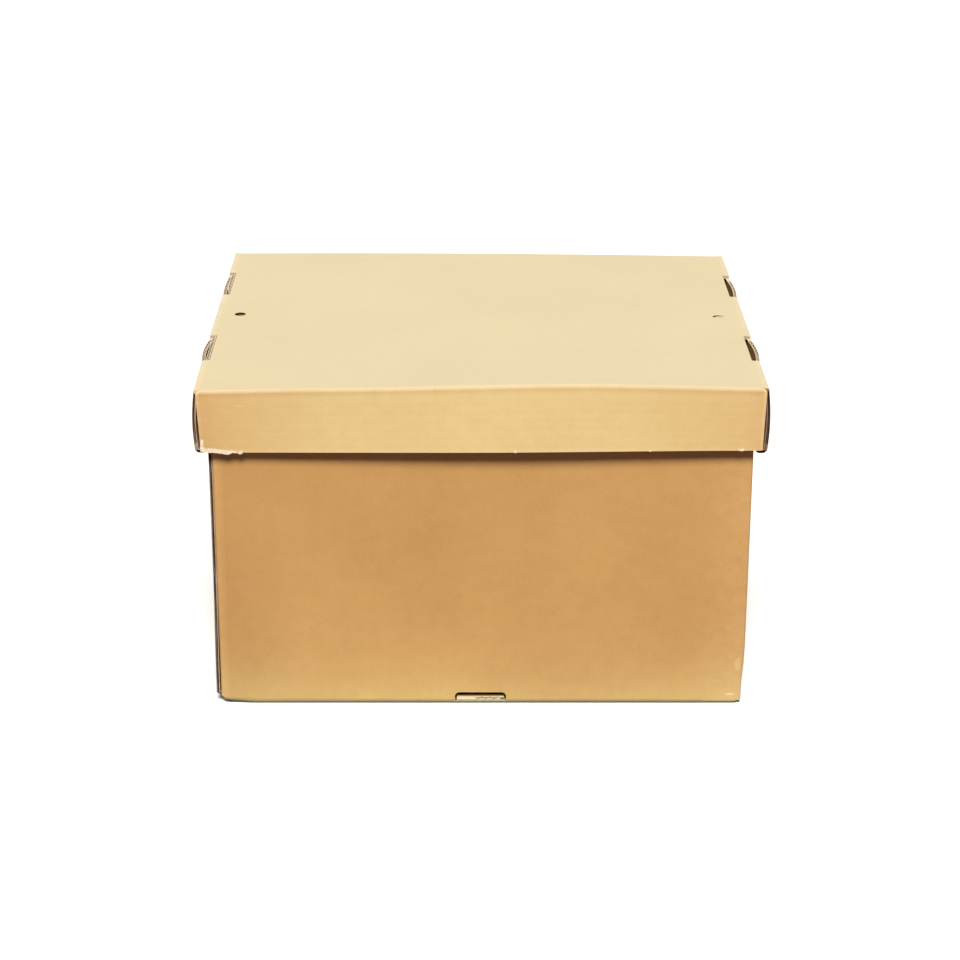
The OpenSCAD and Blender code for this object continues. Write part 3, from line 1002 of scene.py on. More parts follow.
    def chad(self, middle: Pair, tilt: float, hinge: float) -> Patch:
        """One punched disc with its cut side, a little smaller than its hole."""
        r = self.disc / 2 - self.disc_cut
        place = self.chad_place(middle, tilt, hinge)
        patch = Patch(fan(middle[0], r), fan(middle[1], r), place, Flutes.ALONG_U)
        patch.round((middle[0] - r, middle[1] - r), (middle[0] + r, middle[1] + r), r)
        return patch

    def top_and_ends(self) -> Patch:
        """The top panel, both rolled end walls and the tabs."""
        u = [0.0, self.corner_x, self.slot_in, self.slot_out, self.slot_in + self.slot_round]
        u += [self.slot_in + self.slot_round * x for x in (0.3, 0.65)]
        for path in (self.left, self.right):
            u += path.stops(arc=12.0)
            u += list(np.linspace(path.begins[2], path.begins[3], 9))
            u += [path.begins[9] + x for x in (0.6, 1.2)]
        v = [self.crease_y, self.depth / 2 - self.end_setback, self.crease_y - 3.0]
        u, v = ([side * x for x in lines for side in (-1, 1)] for lines in (u, v))
        for x, y in (self.disc_left, self.disc_right):
            u += list(fan(x, self.disc / 2))
            v += list(fan(y, self.disc / 2))
        for _, slot in self.slots:
            ends = ((slot.low, 1), (slot.high, -1))
            v += [x + side * self.slot_round * k for x, side in ends for k in (0, 0.4, 1)]
            v += slot.tab or ()
        u, v = lines_between(u, self.step), lines_between(v, self.step)
        patch = Patch(u, v, self.top_place, Flutes.ALONG_U)
        patch.cut((-FAR, self.crease_y), (FAR, FAR))
        patch.cut((-FAR, -FAR), (FAR, -self.crease_y))
        for side in (-1, 1):
            low, high = sorted((side * self.corner_x, side * self.end_foot))
            patch.give((low, self.crease_y), (high, FAR))
            patch.give((low, -FAR), (high, -self.crease_y))
            patch.seam(side * self.crease_y, -self.corner_x, self.corner_x)
            near, far = sorted(side * row for row in self.shut_rows)
            for edge in (-1, 1):
                low, high = sorted(edge * x for x in self.shut_edge)
                patch.crushed.append(((low, near), (high, far)))
        shoulder = self.left.begins[9]
        patch.cut((-FAR, -FAR), (-shoulder, FAR))
        patch.cut((self.right.begins[9], -FAR), (FAR, FAR))
        for side, slot in self.slots:
            low, high = sorted((side * self.slot_in, side * self.slot_out))
            patch.cut((low, slot.low), (high, slot.high), self.slot_round)
            if slot.tab:
                patch.give((-self.left.length, slot.tab[0]), (-shoulder, slot.tab[1]))
            shut = self.slot_shut
            for begin, end in ((slot.low - 0.5, slot.low + shut), (slot.high - shut, slot.high + 0.5)):
                patch.crushed.append(((low - 1.0, begin), (high + 1.0, end)))
        r = self.disc / 2
        for x, y in (self.disc_left, self.disc_right):
            patch.cut((x - r, y - r), (x + r, y + r), r)
        middle = (self.left.begins[1] + self.left.begins[2]) / 2
        # End folds rubbed paler, partly a painted highlight where they face the light.
        patch.wear_and_painted_light = [(0, side * middle, 2.6, 0.6) for side in (1, -1)]
        return patch

    def skirt_at(self, side: int, top: Patch) -> Patch:
        """Front or back skirt with its crease and corner flaps."""
        turn = self.board.mid * math.pi / 2
        edge = self.corner_x + turn
        u = [x for x in top.u if abs(x) < self.corner_x + NEAR]
        u += [s * (self.corner_x + turn * k / 6) for s in (-1, 1) for k in range(7)]
        u += [s * (edge + self.corner_flap * k / 5) for s in (-1, 1) for k in range(6)]
        foot = self.crease_y + turn + self.fold_z - (self.top - self.skirt)
        flap_top = foot - self.corner_flap_height
        v = [self.crease_y + turn * k / 8 for k in range(9)]
        v += [flap_top, foot, foot - 1.2, foot - 3.5, foot - 7.0]
        places = self.skirt_place(side)
        patch = Patch(lines_between(u, 24.0), lines_between(v, 8.0), places, Flutes.ALONG_U)
        patch.cut((-FAR, 0.0), (-edge, flap_top))
        patch.cut((edge, 0.0), (FAR, flap_top))
        patch.seam(self.crease_y, -FAR, FAR)
        # Painted shade darkens the lower part of the top crease; the foot is rubbed paler.
        patch.wear_and_painted_light = [(1, self.crease_y + turn * 0.7, 1.6, -0.46), (1, foot, 1.2, 0.5)]
        # Corner creases rubbed paler, partly a painted highlight where they catch the light.
        patch.wear_and_painted_light += [(0, s * (self.corner_x + turn / 2), 1.1, 0.8) for s in (-1, 1)]
        # Painted shadow on the corner flaps, in the gap behind the skirt's ends.
        patch.wear_and_painted_light += [(0, s * (edge + 4.0), 4.0, -0.9) for s in (-1, 1)]
        return patch

    def warp(self, p: Array) -> Array:
        """Bends of the whole lid: a top panel that has bowed up and a skirt that stands off.

        The bends fade down the sides, so that the skirts' feet stay level.
        """
        x, y, z = p[:, 0], p[:, 1], p[:, 2]
        high = np.clip((z - self.top + self.skirt) / self.skirt, 0.0, 1.0)
        middle, right, raised = self.stand_off
        away = middle * hump(x, -214.0, 214.0) ** 0.6 + right * ramp(x, -60.0, 170.0)
        away = away * (1.0 - high) * ramp(y, -150.0, -175.0)
        z = z + self._rise(x, y) * high - droop(x, y, z) + raised * away
        return np.stack([x, y - away, z], -1)

    def _rise(self, x: Array, y: Array) -> Array:
        """How far the top panel has bowed up.

        The front edge follows 3.7 exp(-((x - 75) / c)^2). The back edge follows
        3.2 - 1.2 k - 1.2 k^2, with k = x / 217. Between them the one blends into the other.
        """
        back = np.clip((y + 180.0) / 362.0, 0.0, 1.0)
        back = (back + smooth(back)) / 2
        peak, crest = self.bow_front
        front = peak * np.exp(-(((x - crest) / np.where(x < crest, 125.0, 110.0)) ** 2))
        level, fall = self.bow_back
        k = x / 217.0
        return front * (1.0 - back) + (level - fall * k - fall * k * k) * back

    def build(self, materials: Materials) -> bpy.types.Object:
        """Joins the top, the ends and the skirts into the lid's sheet."""
        sheet, top = Sheet("lid_sheet", self.board), self.top_and_ends()
        sheet.add(top)
        for side in (-1, 1):
            sheet.add(self.skirt_at(side, top))
        sheet.add(self.chad(self.disc_left, *self.pushed_left))
        sheet.add(self.chad(self.disc_right, *self.pushed_right))
        return sheet.make(materials, self.warp)


@dataclass
class TornLiner:
    """Shreds of the lid's outer liner that hang off the skirt's lower left corner and its foot.

    Each shred is drawn in the front view, as pairs (x, z) of its outer and its inner edge. A
    flake has its x, its half width and its drop, and shares one shape: x, low and high edge.
    """

    lid: LidSheet
    thick: float = 0.3
    off: float = 0.12
    corner_outer: tuple[Pair, ...] = (
        (-210.9, 224.0), (-211.3, 219.0), (-211.2, 214.4), (-207.0, 213.5), (-201.0, 213.2),
        (-195.5, 212.7), (-191.0, 211.7), (-187.5, 213.1), (-183.0, 213.2),
    )
    corner_inner: tuple[Pair, ...] = (
        (-208.4, 223.2), (-209.0, 221.2), (-209.2, 218.3), (-207.4, 216.6), (-204.1, 217.1),
        (-199.9, 216.4), (-196.4, 215.8), (-190.5, 215.0), (-183.4, 214.4),
    )
    flake: tuple[Triple, ...] = ((-1.0, 0.3, 0.5), (-0.3, -0.4, 0.9), (0.5, -0.3, 1.3), (1.0, 0.2, 0.4))
    ragged: Pair = (0.12, 0.3)
    flakes: tuple[Triple, ...] = (
        (-181.6, 1.9, -0.9), (25.5, 1.6, 0.5), (127.2, 1.5, 0.6), (195.8, 2.6, 1.0),
    )

    def _slab(self, outer: Array, inner: Array, rng: np.random.Generator) -> tuple[Array, Array]:
        """Closed slab between two edges: its points (x, z, w) and its four-sided faces."""
        steps = np.linspace(0.0, len(outer) - 1.0, 6 * len(outer))
        knots = np.arange(len(outer))
        columns = []
        for edge, ragged in zip((outer, inner), self.ragged):
            line = np.stack([np.interp(steps, knots, edge[:, k]) for k in (0, 1)], -1)
            line[1:-1] += rng.normal(0.0, ragged, line[1:-1].shape)
            columns.append(line)
        low = self.lid.board.half + self.off - self.thick
        high, (first, second) = low + self.thick, columns
        ring = ((first, high), (second, high), (second, low), (first, low))
        points = np.concatenate([np.column_stack([c, np.full(len(c), w)]) for c, w in ring])
        starts = [len(steps) * k for k in range(4)]
        return points, bar_faces(starts, len(steps))[:, ::-1]

    def build(self, material: bpy.types.Material) -> bpy.types.Object:
        """Lays all shreds on the skirt and bends them with the lid."""
        rng, lid = np.random.default_rng(7), self.lid
        shreds = [(np.array(self.corner_outer), np.array(self.corner_inner))]
        for x, wide, drop in self.flakes:
            foot = lid.top - lid.skirt + float(lid.lift(np.array(x)))
            across, low, high = np.array(self.flake).T
            low, high = foot + low + min(drop, 0.0), foot + high + abs(drop) * 0.4
            shreds.append(tuple(np.column_stack([x + across * wide, edge]) for edge in (low, high)))
        points, faces, count = [], [], 0
        for outer, inner in shreds:
            p, f = self._slab(outer, inner, rng)
            points.append(p)
            faces.append(f + count)
            count += len(p)
        p = np.concatenate(points)
        down = (lid.fold_z - p[:, 1]) / (1.0 - lid.lift(p[:, 0]) / lid.skirt)
        along = np.clip(p[:, 0], -lid.corner_x, lid.corner_x)
        v = lid.crease_y + lid.board.mid * math.pi / 2 + down
        placed = lid.warp(lid.skirt_place(-1)(along, v, p[:, 2]))
        placed[:, 0] = p[:, 0]
        mesh = bpy.data.meshes.new("lid_torn_liner")
        mesh.from_pydata(placed * MM, [], np.concatenate(faces))
        mesh.materials.append(material)
        return add_object("lid_torn_liner", mesh)


class Nodes:
    """Short way to add nodes to one tree."""

    def __init__(self, tree: bpy.types.NodeTree) -> None:
        """Works on a tree."""
        self.tree = tree

    def add(self, kind: str, inputs: dict[Any, Any] | None = None, **settings: Any) -> bpy.types.Node:
        """Adds a node, sets its properties and fills or links its inputs.

        Args:
            kind: The node's type name.
            inputs: Values or sockets, by input name or number.
            **settings: Properties of the node.

        Returns:
            The node.
        """
        node = self.tree.nodes.new(kind)
        for key, value in settings.items():
            setattr(node, key, value)
        for key, value in (inputs or {}).items():
            if isinstance(value, Socket):
                self.tree.links.new(value, node.inputs[key])
            else:
                node.inputs[key].default_value = value
        return node

    def link(self, value: Socket, node: bpy.types.Node, name: str) -> None:
        """Links a value to an input of a node."""
        self.tree.links.new(value, node.inputs[name])

    def math(self, operation: str, a: Any, b: Any = 0.0, c: Any = 0.0) -> Socket:
        """Adds a Math node and returns its value."""
        return self.add("ShaderNodeMath", {0: a, 1: b, 2: c}, operation=operation).outputs[0]

    def size(self, value: Socket) -> Socket:
        """Drops a value's sign."""
        return self.math("ABSOLUTE", value)

    def product(self, first: Any, *others: Any) -> Socket:
        """Multiplies values, from the left."""
        for other in others:
            first = self.math("MULTIPLY", first, other)
        return first

    def span(
        self, value: Any, low: float, high: float, to_low: float = 0.0, to_high: float = 1.0
    ) -> Socket:
        """Maps a value from one span to another, held at the ends."""
        inputs = {0: value, 1: low, 2: high, 3: to_low, 4: to_high}
        return self.add("ShaderNodeMapRange", inputs).outputs[0]

    def mix(self, share: Any, a: Any, b: Any) -> Socket:
        """Mixes two colours, each a socket or red, green and blue."""
        a, b = (end if isinstance(end, Socket) else (*end, 1.0) for end in (a, b))
        return self.add("ShaderNodeMix", {0: share, 6: a, 7: b}, data_type="RGBA").outputs[2]

    def noise(self, at: Socket, scale: float, detail: float, roughness: float = 0.5) -> Socket:
        """Adds a noise about 0.5."""
        inputs = {"Vector": at, "Scale": scale, "Detail": detail, "Roughness": roughness}
        return self.add("ShaderNodeTexNoise", inputs).outputs["Fac"]

    def bump(self, strength: float, depth: float, height: Socket, **more: Socket) -> Socket:
        """Adds a bump of a depth in millimetres and returns the normal."""
        inputs = {"Strength": strength, "Distance": depth * MM, "Height": height, **more}
        return self.add("ShaderNodeBump", inputs).outputs[0]

    def axes(self, vector: Socket) -> tuple[Socket, Socket, Socket]:
        """Splits a vector into X, Y and Z."""
        return tuple(self.add("ShaderNodeSeparateXYZ", {0: vector}).outputs)

    def place(self) -> Socket:
        """Place on the object, in metres."""
        return self.add("ShaderNodeTexCoord").outputs["Object"]

    def blank(self) -> Socket:
        """Place on the flat blank, in metres."""
        return self.add("ShaderNodeAttribute", attribute_name="blank").outputs["Vector"]

    def group(self, tree: bpy.types.NodeTree, inputs: dict[str, Any]) -> Any:
        """Places a node group and returns its outputs."""
        return self.add("ShaderNodeGroup", inputs, node_tree=tree).outputs


def new_material(name: str) -> tuple[bpy.types.Material, Nodes, bpy.types.Node]:
    """Starts a material and returns it with its nodes and its shader."""
    material = bpy.data.materials.new(name)
    material.use_nodes = True
    return material, Nodes(material.node_tree), material.node_tree.nodes["Principled BSDF"]


def new_group(
    name: str, vectors: tuple[str, ...], floats: dict[str, float], outs: tuple[str, ...]
) -> tuple[Nodes, Any, bpy.types.Node]:
    """Starts a shader node group with named sockets.

    Args:
        name: The group's name.
        vectors: Names of the inputs that are vectors.
        floats: Default values of the other inputs, by name.
        outs: Names of the outputs, all single values.

    Returns:
        The group's nodes, the sockets of its inputs and its output node.
    """
    tree = bpy.data.node_groups.new(name, "ShaderNodeTree")
    for key in vectors:
        tree.interface.new_socket(key, in_out="INPUT", socket_type="NodeSocketVector")
    for key, value in floats.items():
        socket = tree.interface.new_socket(key, in_out="INPUT", socket_type="NodeSocketFloat")
        socket.default_value = value
    for key in outs:
        tree.interface.new_socket(key, in_out="OUTPUT", socket_type="NodeSocketFloat")
    nodes = Nodes(tree)
    return nodes, nodes.add("NodeGroupInput").outputs, nodes.add("NodeGroupOutput")


def paper_mottle() -> bpy.types.NodeTree:
    """Clouds, fibre clumps and specks of recycled kraft paper, as one value about 0 and one mask.

    Broad clouds about 12 cm across, clumps of 8 mm and fibres of 1 mm that lie across the
    flutes are added with falling weight. Specks are the peaks of a fine noise.
    """
    weights = {"Clouds": 1.0, "Clumps": 1.0, "Grain": 1.0}
    n, given, out = new_group("Paper mottle", ("Blank",), weights, ("Tone", "Specks", "Fibres"))
    at = given["Blank"]
    thin = n.add("ShaderNodeMapping", {"Vector": at, "Scale": (1.0, 0.22, 1.0)}).outputs[0]
    fibres = n.noise(thin, 900.0, 3.0, 0.7)
    noises = (n.noise(at, 8.5, 2.5, 0.55), n.noise(at, 95.0, 3.0, 0.6), fibres)
    clouds, clumps, grain = (
        n.math("MULTIPLY", n.math("SUBTRACT", noise, 0.5), given[weight])
        for noise, weight in zip(noises, weights)
    )
    n.link(n.math("ADD", n.math("ADD", clouds, clumps), grain), out, "Tone")
    n.link(n.span(n.noise(at, 620.0, 1.0, 0.4), 0.69, 0.76), out, "Specks")
    n.link(fibres, out, "Fibres")
    return n.tree


def washboard() -> bpy.types.NodeTree:
    """Height of the flutes that show faintly through a liner: (1 + cos(2 pi q / pitch)) / 2."""
    inputs = {"Across": 0.0, "Pitch": BOARD.pitch * MM}
    n, given, out = new_group("Washboard", (), inputs, ("Height",))
    turns = n.math("DIVIDE", given["Across"], given["Pitch"])
    wave = n.math("COSINE", n.math("MULTIPLY", turns, 2 * math.pi))
    n.link(n.math("MULTIPLY_ADD", wave, 0.5, 0.5), out, "Height")
    return n.tree


def edge_rub_and_highlight() -> bpy.types.NodeTree:
    """Patchy lighter wear and painted highlights along creases and edges: the given mask times a broken
    noise.
    """
    n, given, out = new_group("Edge rub and highlight", ("Blank",), {"Rub and highlight": 0.0, "Amount": 0.5}, ("Mask",))
    broken = n.span(n.noise(given["Blank"], 130.0, 4.0, 0.65), 0.34, 0.66, 0.35, 1.0)
    n.link(n.product(given["Rub and highlight"], broken, given["Amount"]), out, "Mask")
    return n.tree


def scuff() -> bpy.types.NodeTree:
    """Mask of one rubbed spot: 1 inside an ellipsoid, broken by a noise and 0 outside it."""
    n, given, out = new_group("Scuff", ("Place", "Centre", "Size"), {}, ("Mask",))
    at = given["Place"]
    for operation, other in (("SUBTRACT", "Centre"), ("DIVIDE", "Size")):
        at = n.add("ShaderNodeVectorMath", {0: at, 1: given[other]}, operation=operation).outputs[0]
    reach = n.add("ShaderNodeVectorMath", {0: at}, operation="LENGTH").outputs["Value"]
    broken = n.math("MULTIPLY_ADD", n.noise(given["Place"], 500.0, 2.0), 0.8, reach)
    n.link(n.span(broken, 1.45, 0.95), out, "Mask")
    return n.tree


def torn_fibres() -> bpy.types.NodeTree:
    """Fibres of cut paper, about half a millimetre long, in patches: a share and a height."""
    n, given, out = new_group("Torn fibres", ("Place",), {}, ("Share", "Fuzz"))
    fuzz = n.noise(given["Place"], 1400.0, 3.0, 0.7)
    patch = n.noise(given["Place"], 90.0, 2.0)
    both = n.math("MULTIPLY_ADD", patch, 0.6, n.math("MULTIPLY", fuzz, 0.6))
    n.link(n.span(both, 0.42, 0.78), out, "Share")
    n.link(fuzz, out, "Fuzz")
    return n.tree


class CutMarks:
    """Masks of the cut edges that look unlike the rest, by place, normal and place on the blank; some of them
    are painted highlight and painted shade.
    """

    names = ("Slot highlight", "Tongue", "Corner", "Shaded edges")
    hole: Pair = (-0.1958, 0.0028)

    def make(self) -> bpy.types.NodeTree:
        """Makes the group."""
        n, given, out = new_group("Cut marks", ("Place", "Normal", "Blank"), {}, self.names)
        x, y, z = n.axes(given["Place"])
        masks = (
            self._slot_highlight_mask(n, given["Normal"], x, z),
            self._tongue(n, x, y, z),
            self._corner(n, given["Blank"], z),
            self._shaded_edges_mask(n, x, y),
        )
        for name, mask in zip(self.names, masks):
            n.link(mask, out, name)
        return n.tree

    def _slot_highlight_mask(self, n: Nodes, normal: Socket, x: Socket, z: Socket) -> Socket:
        """Painted highlight: the cut edges in the lid's slots are drawn pale where they face up, and beyond
        the end folds where they face the front.
        """
        _, front, up = n.axes(normal)
        beside = n.span(n.size(x), 0.206, 0.207, 0.0, 0.6)
        facing = n.math("MAXIMUM", n.span(up, 0.5, 0.75), n.product(n.span(front, -0.5, -0.75), beside))
        return n.product(n.span(z, 0.2575, 0.259, 0.0, 0.8), facing)

    def _tongue(self, n: Nodes, x: Socket, y: Socket, z: Socket) -> Socket:
        """The end of the bottom's tongue, drawn cream: its crushed end, and partly a painted highlight where
        it faces the light.
        """
        across = n.span(n.size(x), 0.019, 0.0187)
        return n.product(across, n.span(y, -0.1735, -0.1742, 0.0, 0.75), n.span(z, 0.0092, 0.0088))

    def _corner(self, n: Nodes, blank: Socket, z: Socket) -> Socket:
        """The lid's top corners, where the liner has been drawn over the raw edge."""
        along, beyond = (n.size(axis) for axis in n.axes(blank)[:2])
        inside = n.product(n.span(along, 0.2145, 0.2135), n.span(along, 0.208, 0.209))
        ends = n.product(n.span(beyond, 0.1835, 0.183), n.span(beyond, 0.1745, 0.175))
        return n.product(ends, n.product(inside, n.span(z, 0.2575, 0.259)))

    def _shaded_edges_mask(self, n: Nodes, x: Socket, y: Socket) -> Socket:
        """Painted shade: the lid's raw edge at the front right and the cut edge of the left punched hole are
        drawn darker.
        """
        raw = n.product(n.span(x, 0.2, 0.204), n.span(y, -0.173, -0.176, 0.0, 0.7))
        aside = (n.size(n.math("SUBTRACT", axis, at)) for axis, at in zip((x, y), self.hole))
        reach = n.math("SQRT", n.math("ADD", *(n.math("POWER", away, 2.0) for away in aside)))
        return n.math("MAXIMUM", raw, n.span(reach, 0.0058, 0.0052, 0.0, 0.9))


def toned(colour: Triple, *shares: float) -> Triple:
    """A colour times one share, or each channel times its own."""
    return tuple(c * k for c, k in zip(colour, shares if len(shares) > 1 else shares * 3))


@dataclass(frozen=True)
class KraftFinish:
    """Uncoated kraft liner."""

    name: str
    dark: Triple
    light: Triple
    # Pale colour of rubs, scuffs and painted highlights.
    worn_and_painted_light: Triple
    flutes: Flutes
    roughness: float = 0.62
    rub_and_painted_light: float = 0.45
    clouds: float = 1.0
    clumps: float = 0.42
    grain: float = 0.22
    specks: float = 0.3
    speck_tone: float = 0.55
    mottled: Pair = (0.95, 1.05)
    board_bump: float = 0.05
    # Painted shade: the dark brown that negative rub values draw towards.
    painted_shade: Triple = (0.09, 0.04, 0.016)
    # Painted sheen: the top panel gets its own greyer, bluer copy of the liner, set against the strong light
    # on the top so that it comes out pale and desaturated.
    top_sheen_tone: Triple | None = None
    top_panel_edges: Pair = (0.2150, 0.1793)
    # Darker, browner colour that the skirts' ends are drawn towards, the left one more.
    end_tone: Triple | None = None
    scuffs: tuple[tuple[Triple, Triple, float], ...] = ()

    def make(self, groups: Groups) -> bpy.types.Material:
        """Makes the material from the shared node groups."""
        material, n, shader = new_material(self.name)
        blank = n.blank()
        rub_and_painted_light = n.add("ShaderNodeAttribute", attribute_name="rub_and_painted_light").outputs["Fac"]
        weights = {"Clouds": self.clouds, "Clumps": self.clumps, "Grain": self.grain}
        mottle = n.group(groups["mottle"], {"Blank": blank, **weights})
        share = n.math("ADD", mottle["Tone"], 0.5)
        colour = n.mix(share, self.dark, self.light)
        specks = n.product(mottle["Specks"], self.specks)
        colour = n.mix(specks, colour, toned(self.dark, self.speck_tone))
        x, y, _ = n.axes(blank)
        if self.top_sheen_tone:
            colour = n.mix(self._end_tone_mask(n, x, y), colour, self.end_tone)
            # Painted sheen on the top panel.
            sheen_tones = n.mix(share, *[toned(self.top_sheen_tone, tone) for tone in self.mottled])
            colour = n.mix(self._top_sheen_mask(n, x, y), colour, sheen_tones)
        wear_and_painted_light = n.group(groups["rub_and_painted_light"], {"Rub and highlight": rub_and_painted_light, "Blank": blank, "Amount": self.rub_and_painted_light})
        colour = n.mix(wear_and_painted_light["Mask"], colour, self.worn_and_painted_light)
        for centre, size, strength in self.scuffs:
            mark = n.group(groups["scuff"], {"Place": n.place(), "Centre": centre, "Size": size})
            colour = n.mix(n.product(mark["Mask"], strength), colour, self.worn_and_painted_light)
        # Painted shade: negative rub values darken the colour.
        colour = n.mix(n.span(rub_and_painted_light, -0.2, -1.0, 0.0, 0.9), colour, self.painted_shade)
        n.link(colour, shader, "Base Color")
        board = n.group(groups["washboard"], {"Across": y if self.flutes is Flutes.ALONG_U else x})
        waves = n.bump(1.0, self.board_bump, board["Height"])
        n.link(n.bump(0.35, 0.08, mottle["Fibres"], Normal=waves), shader, "Normal")
        rough = n.span(mottle["Fibres"], 0.3, 0.7, self.roughness - 0.05, self.roughness + 0.08)
        n.link(rough, shader, "Roughness")
        return material

    def _end_tone_mask(self, n: Nodes, x: Socket, y: Socket) -> Socket:
        """Mask of the skirts' ends, which are browner, the left one more than the right one."""
        along = n.size(x)
        share = n.math("ADD", n.span(along, 0.115, 0.205, 0.0, 0.27), n.span(along, 0.198, 0.21, 0.0, 0.14))
        on_skirt = n.span(n.size(y), self.top_panel_edges[1], self.top_panel_edges[1] + 0.002)
        return n.product(share, n.span(x, -0.05, 0.05, 1.0, 0.75), on_skirt)

    def _top_sheen_mask(self, n: Nodes, x: Socket, y: Socket) -> Socket:
        """Mask of the top panel, which is drawn with a painted sheen, by distances on the blank."""
        ends = zip((x, y), self.top_panel_edges)
        return n.product(*[n.span(n.size(axis), end + 0.002, end) for axis, end in ends])


@dataclass(frozen=True)
class CutFinish:
    """Cut paper: the liners' ends, the hollow between them, or the fluted medium."""

    name: str
    dark: Triple
    light: Triple
    # Painted highlight: pale colour of the slots' cut edges that face the light.
    slot_highlight: Triple = (0.80, 0.63, 0.44)
    # Cream of the tongue's end, partly a painted highlight.
    cream: Triple = (0.78, 0.62, 0.38)
    drawn_over: Triple = (0.617, 0.48, 0.28)
    # Painted shade: shares of the dark colour on the shaded edges.
    edge_shade: Triple = (0.45, 0.32, 0.26)

    def make(self, groups: Groups) -> bpy.types.Material:
        """Makes the material, torn fibres in two browns, with the marked edges."""
        material, n, shader = new_material(self.name)
        at = n.place()
        fibres = n.group(groups["fibres"], {"Place": at})
        normal = n.add("ShaderNodeNewGeometry").outputs["Normal"]
        marks = n.group(groups["marks"], {"Place": at, "Normal": normal, "Blank": n.blank()})
        colour = n.mix(fibres["Share"], self.dark, self.light)
        tones = (self.slot_highlight, self.cream, self.drawn_over, toned(self.dark, *self.edge_shade))
        for name, tone in zip(CutMarks.names, tones):
            colour = n.mix(marks[name], colour, tone)
        n.link(colour, shader, "Base Color")
        n.link(n.bump(0.6, 0.15, fibres["Fuzz"]), shader, "Normal")
        shader.inputs["Roughness"].default_value = 0.85
        return material


@dataclass(frozen=True)
class FloorFinish:
    """White sheet under the box, on a floor that is white to the eye but throws little light."""

    tone: float = 0.92
    far: Triple = (0.178, 0.108, 0.105)
    near: Triple = (0.50, 0.90, 1.0)
    sheet: Pair = (0.2065, 0.1752)
    margin: float = 0.04

    def make(self) -> bpy.types.Material:
        """Makes the material."""
        material, n, shader = new_material("white_sweep")
        axes = zip(n.axes(n.place()), self.sheet)
        distance = n.math("MAXIMUM", *[n.math("SUBTRACT", n.size(axis), half) for axis, half in axes])
        near = n.span(distance, self.margin + 0.01, self.margin - 0.01)
        seen = n.add("ShaderNodeLightPath").outputs["Is Camera Ray"]
        colour = n.mix(seen, n.mix(near, self.far, self.near), (self.tone, self.tone, self.tone))
        n.link(colour, shader, "Base Color")
        shader.inputs["Roughness"].default_value = 0.9
        return material


@dataclass
class Studio:
    """Camera, floor and lights."""

    lens: float = 91.54
    sensor: float = 36.0
    clip_end: float = 60.0
    camera_at: Triple = (-0.01066, -1.90653, 0.85402)
    pitch: float = 0.3669
    yaw: float = 0.0057
    roll: float = 0.0025
    sky: Pair = (0.05, 0.65)
    floor_x: Pair = (-8.0, 8.0)
    floor_y: Pair = (-6.0, 9.0)
    floor_rise: float = 1.2
    key: float = 5.1
    key_height: float = 52.0
    key_angle: float = 20.0
    key_colour: Triple = (1.0, 0.985, 0.96)

    def camera(self) -> None:
        """Sets the camera by its pitch, yaw and roll in radians."""
        data = bpy.data.cameras.new("camera")
        data.lens, data.sensor_width, data.clip_end = self.lens, self.sensor, self.clip_end
        camera = add_object("camera", data)
        turned = Matrix.Rotation(-self.yaw, 4, "Z")
        tilted = Matrix.Rotation(math.pi / 2 - self.pitch, 4, "X")
        rolled = Matrix.Rotation(self.roll, 4, "Z")
        camera.matrix_world = Matrix.Translation(self.camera_at) @ turned @ tilted @ rolled
        bpy.context.scene.camera = camera

    def floor(self) -> None:
        """Lays a wide floor with a gentle rise far behind, between 4 and 8 m from the box."""
        lines = np.linspace(*self.floor_x, 3), np.linspace(*self.floor_y, 61)
        x, y = np.meshgrid(*lines, indexing="ij")
        points = np.stack([x, y, self.floor_rise * ramp(y, 4.0, 8.0)], -1).reshape(-1, 3)
        number = np.arange(points.shape[0]).reshape(x.shape)
        corners = [number[:-1, :-1], number[1:, :-1], number[1:, 1:], number[:-1, 1:]]
        mesh = bpy.data.meshes.new("floor")
        mesh.from_pydata(points, [], np.stack([c.ravel() for c in corners], -1))
        mesh.polygons.foreach_set("use_smooth", np.ones(len(mesh.polygons), bool))
        mesh.materials.append(FloorFinish().make())
        add_object("floor", mesh)

    def sky_light(self) -> None:
        """Lights the box with a sky that is bright behind it and white to the camera."""
        world = bpy.data.worlds.new("white_sky")
        world.use_nodes = True
        n, background = Nodes(world.node_tree), world.node_tree.nodes["Background"]
        _, y, z = n.axes(n.add("ShaderNodeTexCoord").outputs["Generated"])
        light = n.span(n.math("MULTIPLY_ADD", z, -0.5, y), -0.05, 0.55, *self.sky)
        seen = n.add("ShaderNodeLightPath").outputs["Is Camera Ray"]
        n.link(n.math("MAXIMUM", light, seen), background, "Strength")
        background.inputs["Color"].default_value = (1.0, 1.0, 1.0, 1.0)
        bpy.context.scene.world = world

    def key_light(self) -> None:
        """Lights the box with one key from the front."""
        data = bpy.data.lights.new("key", "SUN")
        data.energy, data.color = self.key, self.key_colour
        data.angle = math.radians(self.key_angle)
        height = math.radians(self.key_height)
        towards = Vector((0.0, -math.cos(height), math.sin(height)))
        key = add_object("key", data)
        key.location = towards * 3.0
        key.rotation_euler = (-towards).to_track_quat("-Z", "Y").to_euler()

    def build(self) -> None:
        """Sets the camera first, then the floor and the lights."""
        self.camera()
        self.floor()
        self.sky_light()
        self.key_light()
        bpy.context.scene.view_settings.view_transform = "Standard"


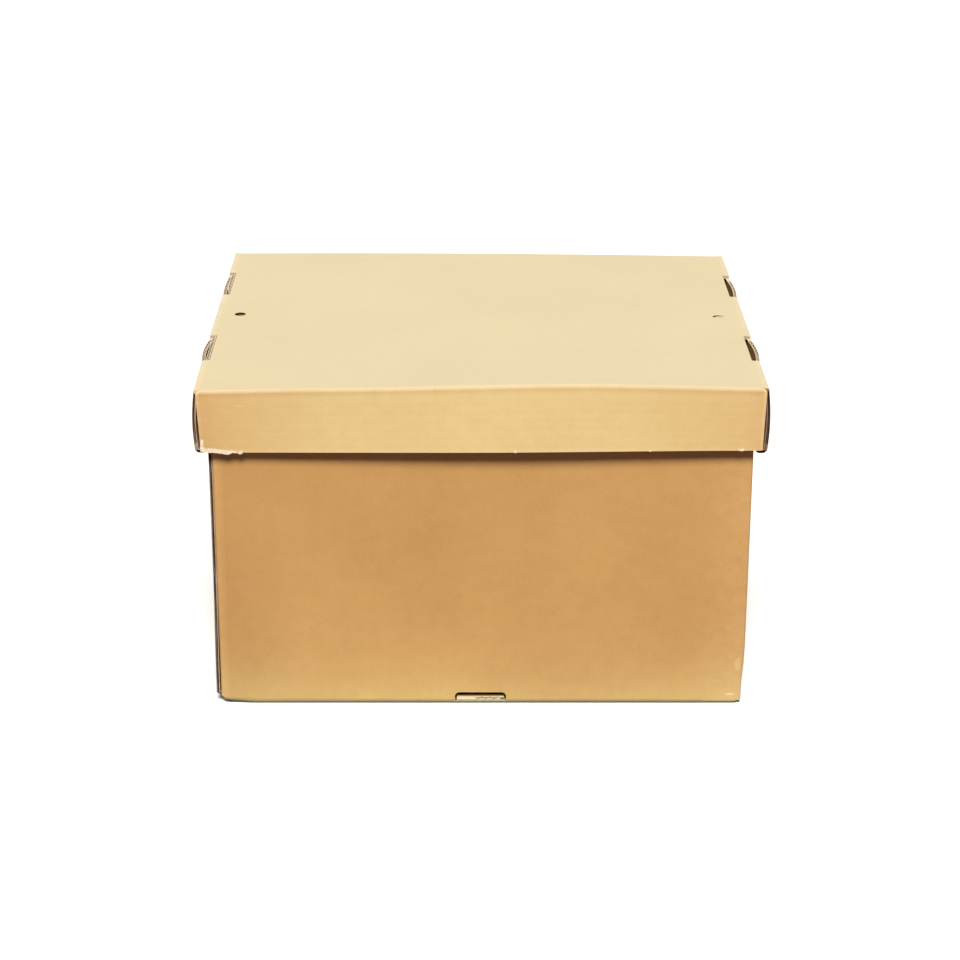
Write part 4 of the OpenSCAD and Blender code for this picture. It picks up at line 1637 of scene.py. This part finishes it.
BODY_OUT = KraftFinish(
    "body_kraft", (0.446, 0.224, 0.063), (0.593, 0.335, 0.114), (0.72, 0.45, 0.2), Flutes.ALONG_V,
    scuffs=(
        ((0.1959, -0.176, 0.0084), (0.0046, 0.01, 0.0011), 0.8),
        ((0.2012, -0.176, 0.034), (0.003, 0.01, 0.006), 0.5),
    ),
)
BODY_IN = KraftFinish(
    "body_kraft_inside", (0.44, 0.23, 0.075), (0.60, 0.34, 0.13), (0.6, 0.4, 0.19), Flutes.ALONG_V
)
LID_OUT = KraftFinish(
    "lid_kraft", (0.635, 0.452, 0.186), (0.742, 0.562, 0.268), (0.86, 0.74, 0.50), Flutes.ALONG_U,
    clumps=0.6,
    board_bump=0.02,
    # Painted sheen: the top panel's own greyer colour.
    top_sheen_tone=(0.617, 0.512, 0.314),
    end_tone=(0.48, 0.158, 0.002),
    scuffs=(((-0.1811, -0.1825, 0.2506), (0.0055, 0.01, 0.0009), 0.22),),
)
LID_IN = KraftFinish(
    "lid_kraft_inside", (0.56, 0.37, 0.16), (0.68, 0.48, 0.23), (0.72, 0.55, 0.3), Flutes.ALONG_U
)
EDGES = (
    CutFinish("cut_liner", (0.42, 0.31, 0.20), (0.66, 0.53, 0.38)),
    CutFinish("fluted_medium", (0.40, 0.29, 0.19), (0.66, 0.53, 0.39)),
    # Painted shade: the hollows between the liners are drawn near black, far darker than the paper in them.
    CutFinish("flute_hollow", (0.04, 0.02, 0.012), (0.12, 0.065, 0.04)),
    # Painted shade: where a cut runs along the flutes the medium is drawn darker, for the shade of the deep
    # hollows beside it.
    CutFinish("flute_slope", (0.16, 0.10, 0.07), (0.34, 0.25, 0.19)),
)
TORN = CutFinish("torn_liner", (0.70, 0.57, 0.40), (0.87, 0.77, 0.61))


def attach(piece: bpy.types.Object, node: str) -> None:
    """Lets a piece stand for a CAD node and logs it."""
    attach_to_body(piece, "root")
    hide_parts(node)
    log.info("%s: %d faces", piece.name, len(piece.data.polygons))


def main() -> None:
    """Builds the studio, the finishes and the two sheets."""
    Studio().build()
    groups = {
        "mottle": paper_mottle(), "washboard": washboard(), "rub_and_painted_light": edge_rub_and_highlight(), "scuff": scuff(),
        "fibres": torn_fibres(), "marks": CutMarks().make(),
    }
    edges = [finish.make(groups) for finish in EDGES]
    body = BodySheet()
    attach(body.build([BODY_OUT.make(groups), BODY_IN.make(groups), *edges]), "body")
    lid = LidSheet(body)
    attach(lid.build([LID_OUT.make(groups), LID_IN.make(groups), *edges]), "lid")
    torn = TornLiner(lid).build(TORN.make(groups))
    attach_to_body(torn, "root")


if __name__ == "__main__":
    logging.basicConfig(level=logging.INFO, format="%(name)s: %(message)s")
    main()
